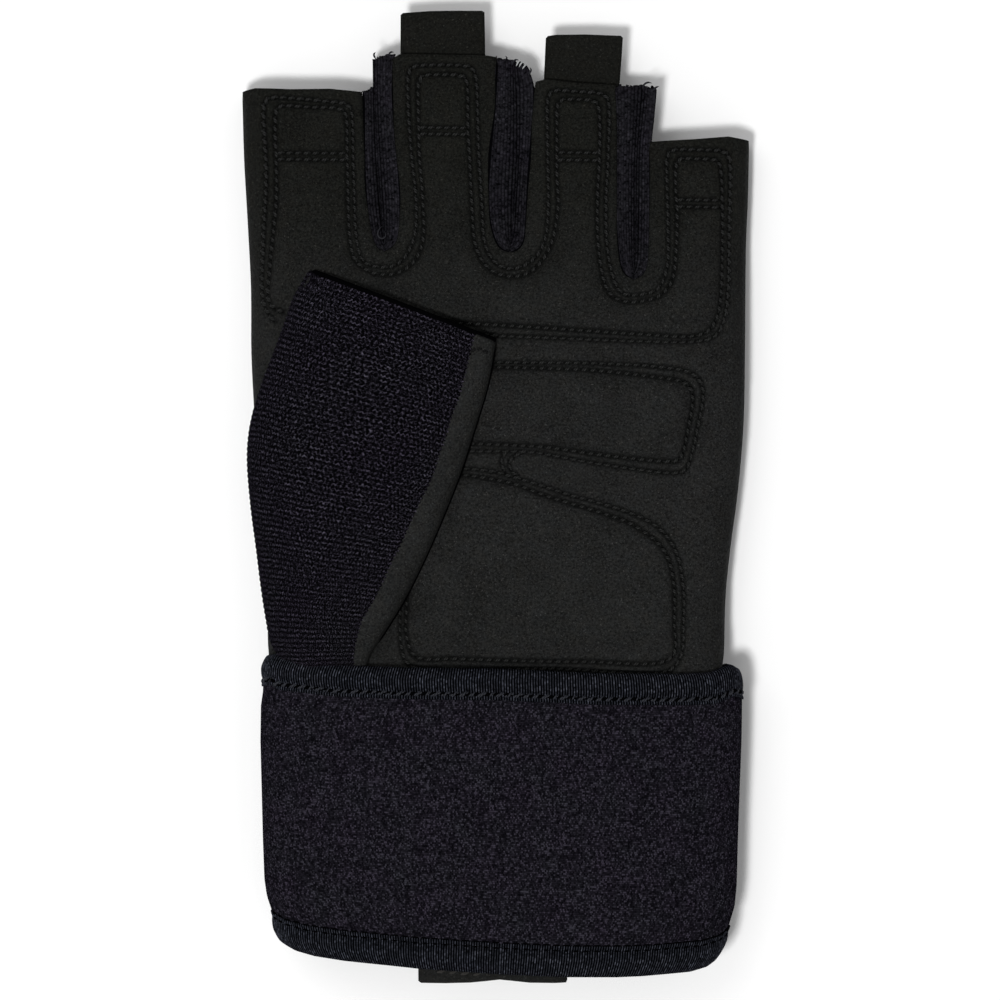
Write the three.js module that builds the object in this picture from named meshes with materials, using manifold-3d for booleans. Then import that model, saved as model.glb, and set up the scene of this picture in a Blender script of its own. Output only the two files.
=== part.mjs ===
// Half-finger weightlifting glove with a wrist wrap, lying on its back with the palm up.
// Millimetres. +X runs across the palm, +Y to the fingertips, +Z up from the surface that it lies on.
import * as THREE from "three";
import { mergeVertices } from "three/addons/utils/BufferGeometryUtils.js";
import Module from "manifold-3d";

const wasm = await Module();
wasm.setup();

// Driving sizes of the hand part. The wrist line, where the wrap begins, is y = 0.
const PALM_WIDTH = 103.7; // across the palm below the fingers, lying flat
const PALM_LENGTH = 86.3; // from the wrist line to the finger roots
const PALM_THICKNESS = 18; // of the hollow hand, without its pads
const CUFF_LENGTH = 58; // how far the hand part runs on inside the wrap
const FINGER_LENGTH = 41.4; // from the finger roots to the end of the middle finger
const FINGER_THICKNESS = 14.5;
const LEATHER = 1.2; // wall of the palm leather
const KNIT = 1.3; // wall of the knit back, the gussets and the thumb's back
const PAD_THICKNESS = 2.4;
const SLIT = 0.4; // between two neighbouring fingers
const GAP = 0.3; // between two pieces that are sewn together

// Driving sizes of the wrap, its bindings and its closure.
const WRAP_WIDTH = 101.6;
const WRAP_THICKNESS = 26; // of the flattened loop
const WRAP_HEIGHT = 65.3; // from the lower edge to the upper edge on the middle line
const WRAP_SHIFT = 1; // the loop sits a little to the right of the palm's middle line
const WRAP_WALL = 3;
const BINDING = 1.2; // thickness of the binding's cloth
const BINDING_WIDTH = 5.6; // how far the binding reaches over the wrap
const CLOSURE_THICKNESS = 1.5;
const CLOSURE_WIDTH = 56;
const CLOSURE_LENGTH = 46;

// Driving sizes of the thumb, the tabs and the gussets.
const THUMB_HEIGHT = 10.4; // of the flattened thumb above the palm
const THUMB_STRIP = 5.4; // width of the leather strip along the thumb
const GUSSET_WIDTH = 7.6;
const GUSSET_LOW = 3.2; // height of the gussets' seam with the knit back
const SEAM_ALLOWANCE = 4.6; // leather left free between a gusset and the pad beside it
const PULL_TAB_REACH = 9.6; // how far a pull tab stands out of its finger
const PULL_TAB_THICKNESS = 2;
const CUFF_TAB_LENGTH = 9.2;
const CUFF_TAB_WIDTH = 31.3;

// Shape of every section: a rounded box, flattened where it lies on the surface.
const ROUNDNESS = 2.5;
const FLATTENING = 1.1;
const RING_POINTS = 28;
const HIGH = 200; // past the top of everything, for cutting prisms

const HALF = PALM_WIDTH / 2;
const WRAP_CLEARANCE = WRAP_WALL + 2 * GAP + BINDING;
const WRAP_BOTTOM = CLOSURE_THICKNESS + GAP;
const CUFF_LIFT = WRAP_BOTTOM + WRAP_CLEARANCE;
const CUFF_THICKNESS = WRAP_THICKNESS - 2 * WRAP_CLEARANCE;
const CUFF_HALF = WRAP_WIDTH / 2 - WRAP_CLEARANCE;
const THUMB_CLEARANCE = PAD_THICKNESS + 3 * GAP;

// Sections of the hand. along: share of PALM_LENGTH above the wrist line, of CUFF_LENGTH below it. left and
// right: shares of half the palm's width, or of the room inside the wrap as tuck goes to 1. thick: share of
// PALM_THICKNESS.
const HAND_ROWS = [
  { along: -1.0, left: -0.86, right: 0.86, tuck: 1, thick: 1 },
  { along: -0.55, left: -0.96, right: 0.96, tuck: 1, thick: 1 },
  { along: -0.1, left: -0.98, right: 0.97, tuck: 1, thick: 1 },
  { along: 0.012, left: -0.96, right: 0.955, tuck: 1, thick: 1 },
  { along: 0.05, left: -0.915, right: 0.91, tuck: 0.5, thick: 0.96 },
  { along: 0.14, left: -0.93, right: 0.918, tuck: 0.1, thick: 0.98 },
  { along: 0.3, left: -0.973, right: 0.941, tuck: 0, thick: 1 },
  { along: 0.44, left: -1.012, right: 0.974, tuck: 0, thick: 1 },
  { along: 0.56, left: -0.99, right: 0.99, tuck: 0, thick: 1 },
  { along: 0.7, left: -0.995, right: 0.995, tuck: 0, thick: 1 },
  { along: 0.86, left: -0.998, right: 1.0, tuck: 0, thick: 0.96 },
  { along: 1.02, left: -1.008, right: 1.003, tuck: 0, thick: 0.85 },
];

// Outer edges of the hand beside the fingers and the three slits between them, as shares of half the palm's
// width, at the finger roots and at the finger ends.
const FINGER_LINES = [
  { root: -1.008, end: -1.04 },
  { root: -0.463, end: -0.507 },
  { root: 0.045, end: 0.077 },
  { root: 0.5505, end: 0.559 },
  { root: 1.003, end: 1.015 },
];

// reach: share of FINGER_LENGTH. flare: extra width on the right at the end, share of the finger's width,
// where a shorter neighbour leaves the finger's side free.
const FINGERS = [
  { name: "index", reach: 0.816, flare: 0 },
  { name: "middle", reach: 1.0, flare: 0 },
  { name: "ring", reach: 0.862, flare: 0.15 },
  { name: "pinky", reach: 0.565, flare: 0 },
];

// Half-widths of a gusset as the palm shows it, shares of GUSSET_WIDTH, from its rounded tip at the root of
// the slit, which is half an ellipse below the first row, to its open end.
const GUSSET_ROWS = [
  { along: 0.1, left: 0.4, right: 0.42 },
  { along: 0.4, left: 0.5, right: 0.5 },
  { along: 0.75, left: 0.46, right: 0.52 },
  { along: 1.0, left: 0.44, right: 0.54 },
];

const GUSSET_TIP_STEPS = 8;

// root: where the tip lies, share of PALM_LENGTH. open: share of FINGER_LENGTH past the finger roots.
const GUSSETS = [
  { name: "gusset_index_middle", line: 1, root: 0.985, open: 1.06 },
  { name: "gusset_middle_ring", line: 2, root: 0.985, open: 1.06 },
  { name: "gusset_ring_pinky", line: 3, root: 0.93, open: 1.0 },
];

// Corners of the pads on the palm. x: share of half the palm's width. y: share of PALM_LENGTH. round: corner
// radius as a share of PALM_LENGTH.
const UPPER_PAD = [
  { x: -0.95, y: 1.226, round: 0 },
  { x: -0.463, y: 1.226, round: 0 },
  { x: -0.463, y: 1.286, round: 0 },
  { x: 0.045, y: 1.286, round: 0 },
  { x: 0.045, y: 1.224, round: 0 },
  { x: 0.5505, y: 1.224, round: 0 },
  { x: 0.5505, y: 1.11, round: 0 },
  { x: 0.932, y: 1.11, round: 0 },
  { x: 0.932, y: 0.779, round: 0.08 },
  { x: -0.06, y: 0.793, round: 0 },
  { x: -0.94, y: 0.8, round: 0.08 },
];
const MIDDLE_PAD = [
  { x: -0.36, y: 0.737, round: 0.03 },
  { x: 0.7, y: 0.729, round: 0.03 },
  { x: 0.845, y: 0.65, round: 0.05 },
  { x: 0.765, y: 0.455, round: 0.04 },
  { x: 0.36, y: 0.485, round: 0 },
  { x: 0.14, y: 0.512, round: 0.03 },
  { x: -0.36, y: 0.52, round: 0.03 },
];
const HEEL_PAD = [
  { x: -0.18, y: 0.466, round: 0.03 },
  { x: 0.03, y: 0.464, round: 0.03 },
  { x: 0.34, y: 0.39, round: 0.03 },
  { x: 0.66, y: 0.335, round: 0.1 },
  { x: 0.76, y: 0.15, round: 0.1 },
  { x: 0.75, y: 0.005, round: 0.04 },
  { x: -0.37, y: 0.012, round: 0.07 },
  { x: -0.39, y: 0.12, round: 0.05 },
];

// Sections of the folded thumb from its open end to its root. Its left and right ends in the plan: x as a
// share of half the palm's width, y of PALM_LENGTH. height: share of THUMB_HEIGHT. lift: 1 where the left
// end lies on the palm, 0 where it is sewn to the side of the hand.
const THUMB_ROWS = [
  { leftX: -0.766, leftY: 0.949, rightX: -0.012, rightY: 0.781, height: 1.0, lift: 1, strip: 0.92 },
  { leftX: -0.856, leftY: 0.827, rightX: -0.042, rightY: 0.674, height: 1.0, lift: 1, strip: 0.96 },
  { leftX: -0.962, leftY: 0.655, rightX: -0.096, rightY: 0.564, height: 1.0, lift: 0.9, strip: 1.0 },
  { leftX: -1.008, leftY: 0.528, rightX: -0.152, rightY: 0.462, height: 1.0, lift: 0.3, strip: 1.08 },
  { leftX: -0.997, leftY: 0.382, rightX: -0.218, rightY: 0.36, height: 0.96, lift: 0, strip: 1.12 },
  { leftX: -0.966, leftY: 0.272, rightX: -0.297, rightY: 0.25, height: 0.88, lift: 0, strip: 1.1 },
  { leftX: -0.95, leftY: 0.177, rightX: -0.382, rightY: 0.148, height: 0.76, lift: 0, strip: 1.04 },
  { leftX: -0.93, leftY: 0.105, rightX: -0.46, rightY: 0.075, height: 0.6, lift: 0, strip: 0.8 },
  { leftX: -0.912, leftY: 0.047, rightX: -0.517, rightY: 0.036, height: 0.42, lift: 0, strip: 0.56 },
];
const THUMB_STEPS = 12;

// The hole in the palm where the thumb goes through: shares of half the palm's width and of PALM_LENGTH.
const THUMB_HOLE = { outer: -1.2, inner: -0.74, low: -0.02, high: 0.6 };

// Outline of the wrap. along: share of WRAP_HEIGHT from the lower edge. left and right: shares of half the
// wrap's width.
const WRAP_ROWS = [
  { along: 0.0, left: -0.885, right: 0.865 },
  { along: 0.035, left: -0.93, right: 0.935 },
  { along: 0.11, left: -0.965, right: 0.965 },
  { along: 0.3, left: -0.985, right: 0.975 },
  { along: 0.6, left: -0.998, right: 0.985 },
  { along: 0.93, left: -1.0, right: 1.0 },
  { along: 1.0, left: -0.985, right: 0.98 },
];

// How far the wrap's two edges leave the straight line from side to side, shares of WRAP_HEIGHT.
const WRAP_EDGE_ROWS = [
  { across: -1.0, top: 0.03, bottom: 0.081 },
  { across: -0.6, top: 0.008, bottom: 0.038 },
  { across: 0.0, top: 0.0, bottom: 0.0 },
  { across: 0.5, top: -0.013, bottom: -0.009 },
  { across: 0.85, top: -0.015, bottom: 0.006 },
  { across: 1.0, top: 0.012, bottom: 0.043 },
];
const WRAP_TOP = -1.5; // height of the upper edge on the middle line, below the wrist line
const WRAP_POINTS = 40;

// Colours of the materials.
const SUEDE = { color: 0x1c1d19, roughness: 0.9, metalness: 0 };
const KNIT_CLOTH = { color: 0x121119, roughness: 0.85, metalness: 0 };
const JERSEY = { color: 0x17151c, roughness: 0.85, metalness: 0 };
const BINDING_CLOTH = { color: 0x0f1218, roughness: 0.8, metalness: 0 };

// Linear interpolation in a table of rows, on one column by another.
function between(rows, key, at, column) {
  if (at <= rows[0][key]) return rows[0][column];
  for (let i = 1; i < rows.length; i++) {
    if (at <= rows[i][key]) {
      const share = (at - rows[i - 1][key]) / (rows[i][key] - rows[i - 1][key]);
      return THREE.MathUtils.lerp(rows[i - 1][column], rows[i][column], share);
    }
  }
  return rows[rows.length - 1][column];
}

// A closed geometry with shared vertices as a solid, and back.
function toSolid(geometry) {
  geometry.deleteAttribute("normal");
  geometry.deleteAttribute("uv");
  const merged = mergeVertices(geometry, 1e-4);
  const vertProperties = new Float32Array(merged.attributes.position.array);
  const triVerts = new Uint32Array(merged.index.array);
  return new wasm.Manifold(new wasm.Mesh({ numProp: 3, vertProperties, triVerts }));
}

function toGeometry(solid) {
  const mesh = solid.getMesh();
  const geometry = new THREE.BufferGeometry();
  geometry.setAttribute("position", new THREE.BufferAttribute(mesh.vertProperties, 3));
  geometry.setIndex(new THREE.BufferAttribute(mesh.triVerts, 1));
  geometry.computeVertexNormals();
  return geometry;
}

function joinAll(solids) {
  return solids.reduce((sum, solid) => sum.add(solid));
}

// A geometry from rows of points: quads between neighbouring rows and columns.
function gridGeometry(points, faces) {
  const geometry = new THREE.BufferGeometry();
  const positions = points.flatMap((p) => [p.x, p.y, p.z]);
  geometry.setAttribute("position", new THREE.Float32BufferAttribute(positions, 3));
  geometry.setIndex(faces);
  return geometry;
}

function quad(faces, a, b, c, d) {
  faces.push(a, b, c, a, c, d);
}

// A solid lofted through closed rings that follow each other along +Y, closed by a fan at each end.
function loft(rings) {
  const count = rings[0].length;
  const points = rings.flat();
  const faces = [];
  for (let i = 0; i + 1 < rings.length; i++) {
    for (let k = 0; k < count; k++) {
      const next = (k + 1) % count;
      quad(faces, i * count + k, (i + 1) * count + k, (i + 1) * count + next, i * count + next);
    }
  }
  [rings[0], rings[rings.length - 1]].forEach((ring, end) => {
    const centre = points.length;
    const first = end ? (rings.length - 1) * count : 0;
    points.push(ring.reduce((sum, p) => sum.add(p), new THREE.Vector3()).divideScalar(count));
    for (let k = 0; k < count; k++) {
      const next = (k + 1) % count;
      if (end) faces.push(centre, first + next, first + k);
      else faces.push(centre, first + k, first + next);
    }
  });
  return toSolid(gridGeometry(points, faces));
}

// A closed ring with one closed section swept round it: sections[k] is the section at step k of the ring.
function ringSweep(sections) {
  const count = sections.length;
  const size = sections[0].length;
  const faces = [];
  for (let k = 0; k < count; k++) {
    const here = k * size;
    const there = ((k + 1) % count) * size;
    for (let j = 0; j < size; j++) {
      const next = (j + 1) % size;
      quad(faces, here + j, here + next, there + next, there + j);
    }
  }
  return toSolid(gridGeometry(sections.flat(), faces));
}

// A sheet of cloth or leather between two grids of points, outer above and inner below it.
function sheet(outer, inner) {
  const columns = outer[0].length;
  const faces = [];
  const far = outer.length * columns;
  const at = (i, j) => i * columns + j;
  for (let i = 0; i + 1 < outer.length; i++) {
    for (let j = 0; j + 1 < columns; j++) {
      quad(faces, at(i, j), at(i + 1, j), at(i + 1, j + 1), at(i, j + 1));
      quad(faces, far + at(i, j), far + at(i, j + 1), far + at(i + 1, j + 1), far + at(i + 1, j));
    }
  }
  const rim = [];
  const lastRow = outer.length - 1;
  const lastColumn = columns - 1;
  for (let j = 0; j < lastColumn; j++) rim.push(at(0, j));
  for (let i = 0; i < lastRow; i++) rim.push(at(i, lastColumn));
  for (let j = lastColumn; j > 0; j--) rim.push(at(lastRow, j));
  for (let i = lastRow; i > 0; i--) rim.push(at(i, 0));
  rim.forEach((a, k) => {
    const b = rim[(k + 1) % rim.length];
    quad(faces, a, b, far + b, far + a);
  });
  return toSolid(gridGeometry([...outer.flat(), ...inner.flat()], faces));
}

// An upright prism over an outline in the plan.
function prism(shape, low, high) {
  const geometry = new THREE.ExtrudeGeometry(shape, {
    depth: high - low,
    bevelEnabled: false,
    curveSegments: 4,
  });
  geometry.translate(0, 0, low);
  return toSolid(geometry);
}

// An outline through corners, each rounded by its own radius.
function roundedOutline(corners) {
  const shape = new THREE.Shape();
  corners.forEach((corner, i) => {
    const before = corners[(i + corners.length - 1) % corners.length];
    const after = corners[(i + 1) % corners.length];
    const toBefore = before.point.clone().sub(corner.point);
    const toAfter = after.point.clone().sub(corner.point);
    const reach = Math.min(corner.radius, toBefore.length() / 2.2, toAfter.length() / 2.2);
    const start = corner.point.clone().add(toBefore.setLength(reach));
    const end = corner.point.clone().add(toAfter.setLength(reach));
    if (i === 0) shape.moveTo(start.x, start.y);
    else shape.lineTo(start.x, start.y);
    if (reach > 0) shape.quadraticCurveTo(corner.point.x, corner.point.y, end.x, end.y);
  });
  shape.closePath();
  return shape;
}

// Where a share of the palm's width and length lies in the plan.
function onPalm(x, y) {
  return new THREE.Vector2(x * HALF, y * PALM_LENGTH);
}

function padOutline(rows) {
  const corners = rows.map((row) => ({
    point: onPalm(row.x, row.y),
    radius: row.round * PALM_LENGTH,
  }));
  return roundedOutline(corners);
}

function box(left, right, front, back, low, high) {
  const shape = new THREE.Shape();
  shape.moveTo(left, front);
  shape.lineTo(right, front);
  shape.lineTo(right, back);
  shape.lineTo(left, back);
  shape.closePath();
  return prism(shape, low, high);
}

// One section of the hand or of a finger: a flattened ring in the plane y.
function sectionRing(y, left, right, low, high, grow, count) {
  const middle = (left + right) / 2;
  const centre = (low + high) / 2;
  const across = (right - left) / 2 + grow;
  const up = (high - low) / 2 + grow;
  const power = 2 / ROUNDNESS;
  return Array.from({ length: count }, (_, k) => {
    const angle = (2 * Math.PI * k) / count;
    const c = Math.cos(angle);
    const s = Math.sin(angle);
    const x = middle + across * Math.sign(c) * Math.abs(c) ** power;
    const rise = Math.abs(s) ** power;
    const z = s >= 0 ? centre + up * rise : centre - up * Math.min(1, FLATTENING * rise);
    return new THREE.Vector3(x, y, z);
  });
}

// The hand's section at a height y: its two sides, its underside and its top.
function handSection(row) {
  const y = row.along * (row.along < 0 ? CUFF_LENGTH : PALM_LENGTH);
  const { lerp } = THREE.MathUtils;
  const left = lerp(row.left * HALF, WRAP_SHIFT + Math.max(row.left, -1) * CUFF_HALF, row.tuck);
  const right = lerp(row.right * HALF, WRAP_SHIFT + Math.min(row.right, 1) * CUFF_HALF, row.tuck);
  const low = row.tuck * CUFF_LIFT;
  const thickness = lerp(row.thick * PALM_THICKNESS, CUFF_THICKNESS, row.tuck);
  return { y, left, right, low, high: low + thickness };
}

const HAND = HAND_ROWS.map(handSection);
const ROOT_Y = PALM_LENGTH;
const FINGER_START = -0.18; // the finger forms begin inside the palm, share of PALM_LENGTH from the roots
const FINGER_INSET = 0.04; // and are narrower there, share of half the palm's width

function lineX(line, y) {
  const share = Math.max(0, (y - ROOT_Y) / FINGER_LENGTH);
  return THREE.MathUtils.lerp(line.root, line.end, share) * HALF;
}

// One finger as a solid form, grown outwards by grow and lengthened past its end by extend.
function fingerForm(index, grow, extend) {
  const finger = FINGERS[index];
  const end = ROOT_Y + finger.reach * FINGER_LENGTH;
  const start = ROOT_Y + FINGER_START * PALM_LENGTH;
  const neighbour = FINGERS[index + 1];
  const free = neighbour && finger.flare ? ROOT_Y + neighbour.reach * FINGER_LENGTH : ROOT_Y;
  const rows = [start, ROOT_Y, (ROOT_Y + end) / 2, free + SLIT, end, end + extend];
  const steps = rows.filter((y, i) => i === 0 || y > Math.max(...rows.slice(0, i)) + SLIT);
  const rings = steps.map((y) => {
    const flare = finger.flare * Math.max(0, Math.min(1, (y - free) / (end - free)));
    const sideLeft = index === 0 ? 0 : SLIT / 2;
    const sideRight = index === FINGERS.length - 1 ? 0 : SLIT / 2;
    const inset = y === start ? FINGER_INSET * HALF : 0;
    const left = lineX(FINGER_LINES[index], y) + sideLeft + inset;
    const edge = lineX(FINGER_LINES[index + 1], y) - sideRight - inset;
    const right = edge + flare * (edge - left);
    return sectionRing(y, left, right, 0, FINGER_THICKNESS, grow, RING_POINTS - 4);
  });
  return loft(rings);
}

// The hand without its wrap as a solid form. open lengthens it past the cuff and past the fingers, so that a
// form cut out of another leaves both ends open.
function handForm(grow, open) {
  const palmRings = HAND.map((s, i) => {
    const last = i === HAND.length - 1;
    const y = s.y + (last ? grow : 0);
    return sectionRing(y, s.left, s.right, s.low, s.high, grow, RING_POINTS);
  });
  const cuff = HAND[0];
  const tail = CUFF_TAB_LENGTH + open;
  palmRings.unshift(
    sectionRing(cuff.y - tail, cuff.left, cuff.right, cuff.low, cuff.high, grow, RING_POINTS),
  );
  return joinAll([loft(palmRings), ...FINGERS.map((_, i) => fingerForm(i, grow, open))]);
}

// A wall of the hand, one thickness inwards from its surface.
function handWall(thickness) {
  return handForm(0, 0).subtract(handForm(-thickness, HALF));
}

// Height of the side seam above the surface, along the hand.
function seamHeight() {
  const rows = HAND.map((s) => ({ y: s.y, z: (s.low + s.high) / 2 }));
  rows.unshift({ y: rows[0].y - HALF, z: rows[0].z });
  rows.push({ y: ROOT_Y + FINGER_LENGTH * 2, z: FINGER_THICKNESS / 2 });
  return rows;
}

// Everything above the side seam, less a share of the gap.
function aboveSeam(lift) {
  const shape = new THREE.Shape();
  const rows = seamHeight();
  shape.moveTo(rows[0].y, rows[0].z + lift);
  rows.slice(1).forEach((row) => shape.lineTo(row.y, row.z + lift));
  shape.lineTo(rows[rows.length - 1].y, HIGH);
  shape.lineTo(rows[0].y, HIGH);
  shape.closePath();
  const geometry = new THREE.ExtrudeGeometry(shape, { depth: 4 * HALF, bevelEnabled: false });
  geometry.translate(0, 0, -2 * HALF);
  // The outline was drawn with y across and z up, so the prism is turned to lie along X.
  const turn = new THREE.Matrix4().set(0, 0, 1, 0, 1, 0, 0, 0, 0, 1, 0, 0, 0, 0, 0, 1);
  geometry.applyMatrix4(turn);
  return toSolid(geometry);
}

// Outline of a gusset in the plan, grown outwards by grow.
function gussetOutline(gusset, grow) {
  const line = FINGER_LINES[gusset.line];
  const tip = gusset.root * PALM_LENGTH;
  const end = ROOT_Y + gusset.open * FINGER_LENGTH;
  const sides = GUSSET_ROWS.map((row) => {
    const y = THREE.MathUtils.lerp(tip, end, row.along);
    const x = lineX(line, y);
    return { y, left: x - row.left * GUSSET_WIDTH - grow, right: x + row.right * GUSSET_WIDTH + grow };
  });
  // The tip is half an ellipse, from the right side of the first row to its left side.
  const first = sides[0];
  const middle = (first.left + first.right) / 2;
  const across = (first.right - first.left) / 2;
  const down = first.y - tip + grow;
  const shape = new THREE.Shape();
  shape.moveTo(first.left, first.y);
  for (let k = 1; k < GUSSET_TIP_STEPS; k++) {
    const angle = (Math.PI * k) / GUSSET_TIP_STEPS;
    shape.lineTo(middle - across * Math.cos(angle), first.y - down * Math.sin(angle));
  }
  sides.forEach((side) => shape.lineTo(side.right, side.y));
  [...sides].reverse().forEach((side) => shape.lineTo(side.left, side.y));
  shape.closePath();
  return shape;
}

// Leather palm and knit back: the two halves of the hand, less the gussets and the thumb's hole.
function thumbHole(grow) {
  const from = onPalm(THUMB_HOLE.outer, THUMB_HOLE.low);
  const to = onPalm(THUMB_HOLE.inner, THUMB_HOLE.high);
  return box(from.x, to.x + grow, from.y - grow, to.y + grow, 0, HIGH);
}

const gussetCuts = joinAll(
  GUSSETS.map((gusset) => prism(gussetOutline(gusset, GAP), GUSSET_LOW - GAP, HIGH)),
);
const cuffCut = box(-2 * HALF, 2 * HALF, -3 * CUFF_LENGTH, HAND[0].y, -HIGH, HIGH);
const above = aboveSeam(GAP / 2);
const below = box(-2 * HALF, 2 * HALF, -3 * CUFF_LENGTH, 3 * PALM_LENGTH, -HIGH, HIGH).subtract(
  aboveSeam(-GAP / 2),
);
const thumbHolePrism = thumbHole(0);

function palmPanel() {
  const wall = handWall(LEATHER).intersect(above);
  return wall.subtract(gussetCuts).subtract(cuffCut).subtract(thumbHolePrism.intersect(above));
}

function backPanel() {
  return handWall(KNIT).intersect(below).subtract(gussetCuts).subtract(cuffCut);
}

function gussetPiece(gusset) {
  return handWall(KNIT).intersect(prism(gussetOutline(gusset, 0), GUSSET_LOW, HIGH));
}

// Padded fields of the palm: a layer of even thickness on the hand's surface inside an outline.
const padLayer = handForm(GAP + PAD_THICKNESS, 0).subtract(handForm(GAP, HALF)).intersect(above);

function upperPad() {
  const free = GUSSETS.map((gusset) => prism(gussetOutline(gusset, SEAM_ALLOWANCE), -HIGH, HIGH));
  return padLayer.intersect(prism(padOutline(UPPER_PAD), -HIGH, HIGH)).subtract(joinAll(free));
}

function pad(rows) {
  return padLayer.intersect(prism(padOutline(rows), -HIGH, HIGH));
}

// Pull tab: a tongue of leather under the finger's leather, which stands out of the finger's open end.
function pullTab(index, leftShare, rightShare) {
  const finger = FINGERS[index];
  const end = ROOT_Y + finger.reach * FINGER_LENGTH;
  const left = lineX(FINGER_LINES[index], end);
  const right = lineX(FINGER_LINES[index + 1], end);
  const outline = box(
    THREE.MathUtils.lerp(left, right, leftShare),
    THREE.MathUtils.lerp(left, right, rightShare),
    end - PULL_TAB_REACH,
    end + PULL_TAB_REACH,
    FINGER_THICKNESS / 2,
    HIGH,
  );
  const surface = LEATHER + GAP;
  const outer = fingerForm(index, -surface, HALF);
  const inner = fingerForm(index, -surface - PULL_TAB_THICKNESS, 2 * HALF);
  return outer.subtract(inner).intersect(outline);
}

// Leather end of the heel, which goes on from the palm leather and shows below the wrap.
function cuffTab() {
  const centre = -0.03 * HALF;
  const start = HAND[0].y - GAP;
  const left = centre - CUFF_TAB_WIDTH / 2;
  const outline = box(left, left + CUFF_TAB_WIDTH, start - CUFF_TAB_LENGTH + GAP, start, 0, HIGH);
  return handWall(LEATHER).intersect(outline).intersect(above);
}

// Height of the hand's upper surface over a point of the plan.
function handTop(x, y) {
  const rows = HAND;
  const left = between(rows, "y", y, "left");
  const right = between(rows, "y", y, "right");
  const low = between(rows, "y", y, "low");
  const high = between(rows, "y", y, "high");
  const share = Math.min(1, Math.abs(x - (left + right) / 2) / ((right - left) / 2));
  return (low + high) / 2 + ((high - low) / 2) * (1 - share ** ROUNDNESS) ** (1 / ROUNDNESS);
}

// A point of the thumb's wall. angle goes from 0 at its left end over the top to PI at its right end, and on
// to 2 PI under it. depth goes inwards from the outer surface.
function thumbPoint(row, angle, depth) {
  const left = onPalm(row.leftX, row.leftY);
  const right = onPalm(row.rightX, row.rightY);
  const width = left.distanceTo(right);
  const across = depth / width + (1 - (2 * depth) / width) * ((1 - Math.cos(angle)) / 2);
  const place = left.clone().lerp(right, across);
  const settle = Math.min(1, across / 0.25);
  const base = handTop(place.x, place.y) + THUMB_CLEARANCE * (row.lift + (1 - row.lift) * settle);
  const room = row.height * THUMB_HEIGHT - 2 * depth;
  const rise = Math.abs(Math.sin(angle)) ** (2 / ROUNDNESS);
  const z = angle <= Math.PI ? base + depth + room * rise : base + depth;
  return new THREE.Vector3(place.x, place.y, z);
}

// A stretch of the thumb's wall between two angles in each section.
function thumbSheet(rows, from, to, wall) {
  const grid = (depth) =>
    rows.map((row) =>
      Array.from({ length: THUMB_STEPS + 1 }, (_, k) => {
        const angle = THREE.MathUtils.lerp(from(row), to(row), k / THUMB_STEPS);
        return thumbPoint(row, angle, depth);
      }),
    );
  return sheet(grid(0), grid(wall)).subtract(handForm(GAP, 0));
}

// The angle in a section that lies a given width in from the right end, over the top.
function stripAngle(row, width) {
  const length = onPalm(row.leftX, row.leftY).distanceTo(onPalm(row.rightX, row.rightY));
  return Math.PI - Math.acos(1 - (2 * width) / length);
}

function thumbKnit() {
  const edge = (row) => stripAngle(row, row.strip * THUMB_STRIP + GAP);
  return thumbSheet(THUMB_ROWS, () => 0, edge, KNIT).intersect(above);
}

function thumbStrip() {
  const edge = (row) => stripAngle(row, row.strip * THUMB_STRIP);
  return thumbSheet(THUMB_ROWS, edge, () => Math.PI, LEATHER);
}

// The thumb's underside lies on the palm from the strip's fold to the left end, less the thumb's hole.
function thumbLining() {
  const start = (row) => 2 * Math.PI - stripAngle(row, GAP + LEATHER);
  const end = (row) => Math.PI + stripAngle(row, KNIT + GAP);
  return thumbSheet(THUMB_ROWS, start, end, LEATHER);
}

// A point of the wrap's wall. angle goes round the loop, along is the share of the height from its lower edge,
// below 0 or past 1 where a binding stands over an edge, and depth goes inwards from the outer surface.
function wrapPoint(angle, along, depth) {
  const half = WRAP_WIDTH / 2;
  const left = WRAP_SHIFT + between(WRAP_ROWS, "along", along, "left") * half;
  const right = WRAP_SHIFT + between(WRAP_ROWS, "along", along, "right") * half;
  const high = WRAP_BOTTOM + WRAP_THICKNESS;
  const point = sectionPoint(angle, left, right, WRAP_BOTTOM, high, -depth);
  const across = (point.x - WRAP_SHIFT) / half;
  const top = WRAP_TOP + between(WRAP_EDGE_ROWS, "across", across, "top") * WRAP_HEIGHT;
  const low = WRAP_TOP - WRAP_HEIGHT;
  const bottom = low + between(WRAP_EDGE_ROWS, "across", across, "bottom") * WRAP_HEIGHT;
  const inside = THREE.MathUtils.clamp(along, 0, 1);
  const past = (along - inside) * WRAP_HEIGHT;
  return new THREE.Vector3(point.x, THREE.MathUtils.lerp(bottom, top, inside) + past, point.z);
}

function sectionPoint(angle, left, right, low, high, grow) {
  const ring = sectionRing(0, left, right, low, high, grow, WRAP_POINTS);
  return ring[Math.round((angle / (2 * Math.PI)) * WRAP_POINTS) % WRAP_POINTS];
}

// A closed section, given by shares along the wrap and depths, swept round the wrap's loop.
function roundTheWrap(profile) {
  const sections = Array.from({ length: WRAP_POINTS }, (_, k) => {
    const angle = (2 * Math.PI * k) / WRAP_POINTS;
    return profile.map((p) => wrapPoint(angle, p.along, p.depth));
  });
  return ringSweep(sections);
}

const HEM = BINDING_WIDTH / WRAP_HEIGHT;
const WRAP_STEPS = [0, HEM / 2, HEM, 0.3, 0.6, 1 - HEM, 1 - HEM / 2, 1];

function wristWrap() {
  const outside = WRAP_STEPS.map((along) => ({ along, depth: 0 }));
  const inside = [...outside].reverse().map((p) => ({ ...p, depth: WRAP_WALL }));
  return roundTheWrap([...outside, ...inside]);
}

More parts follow.
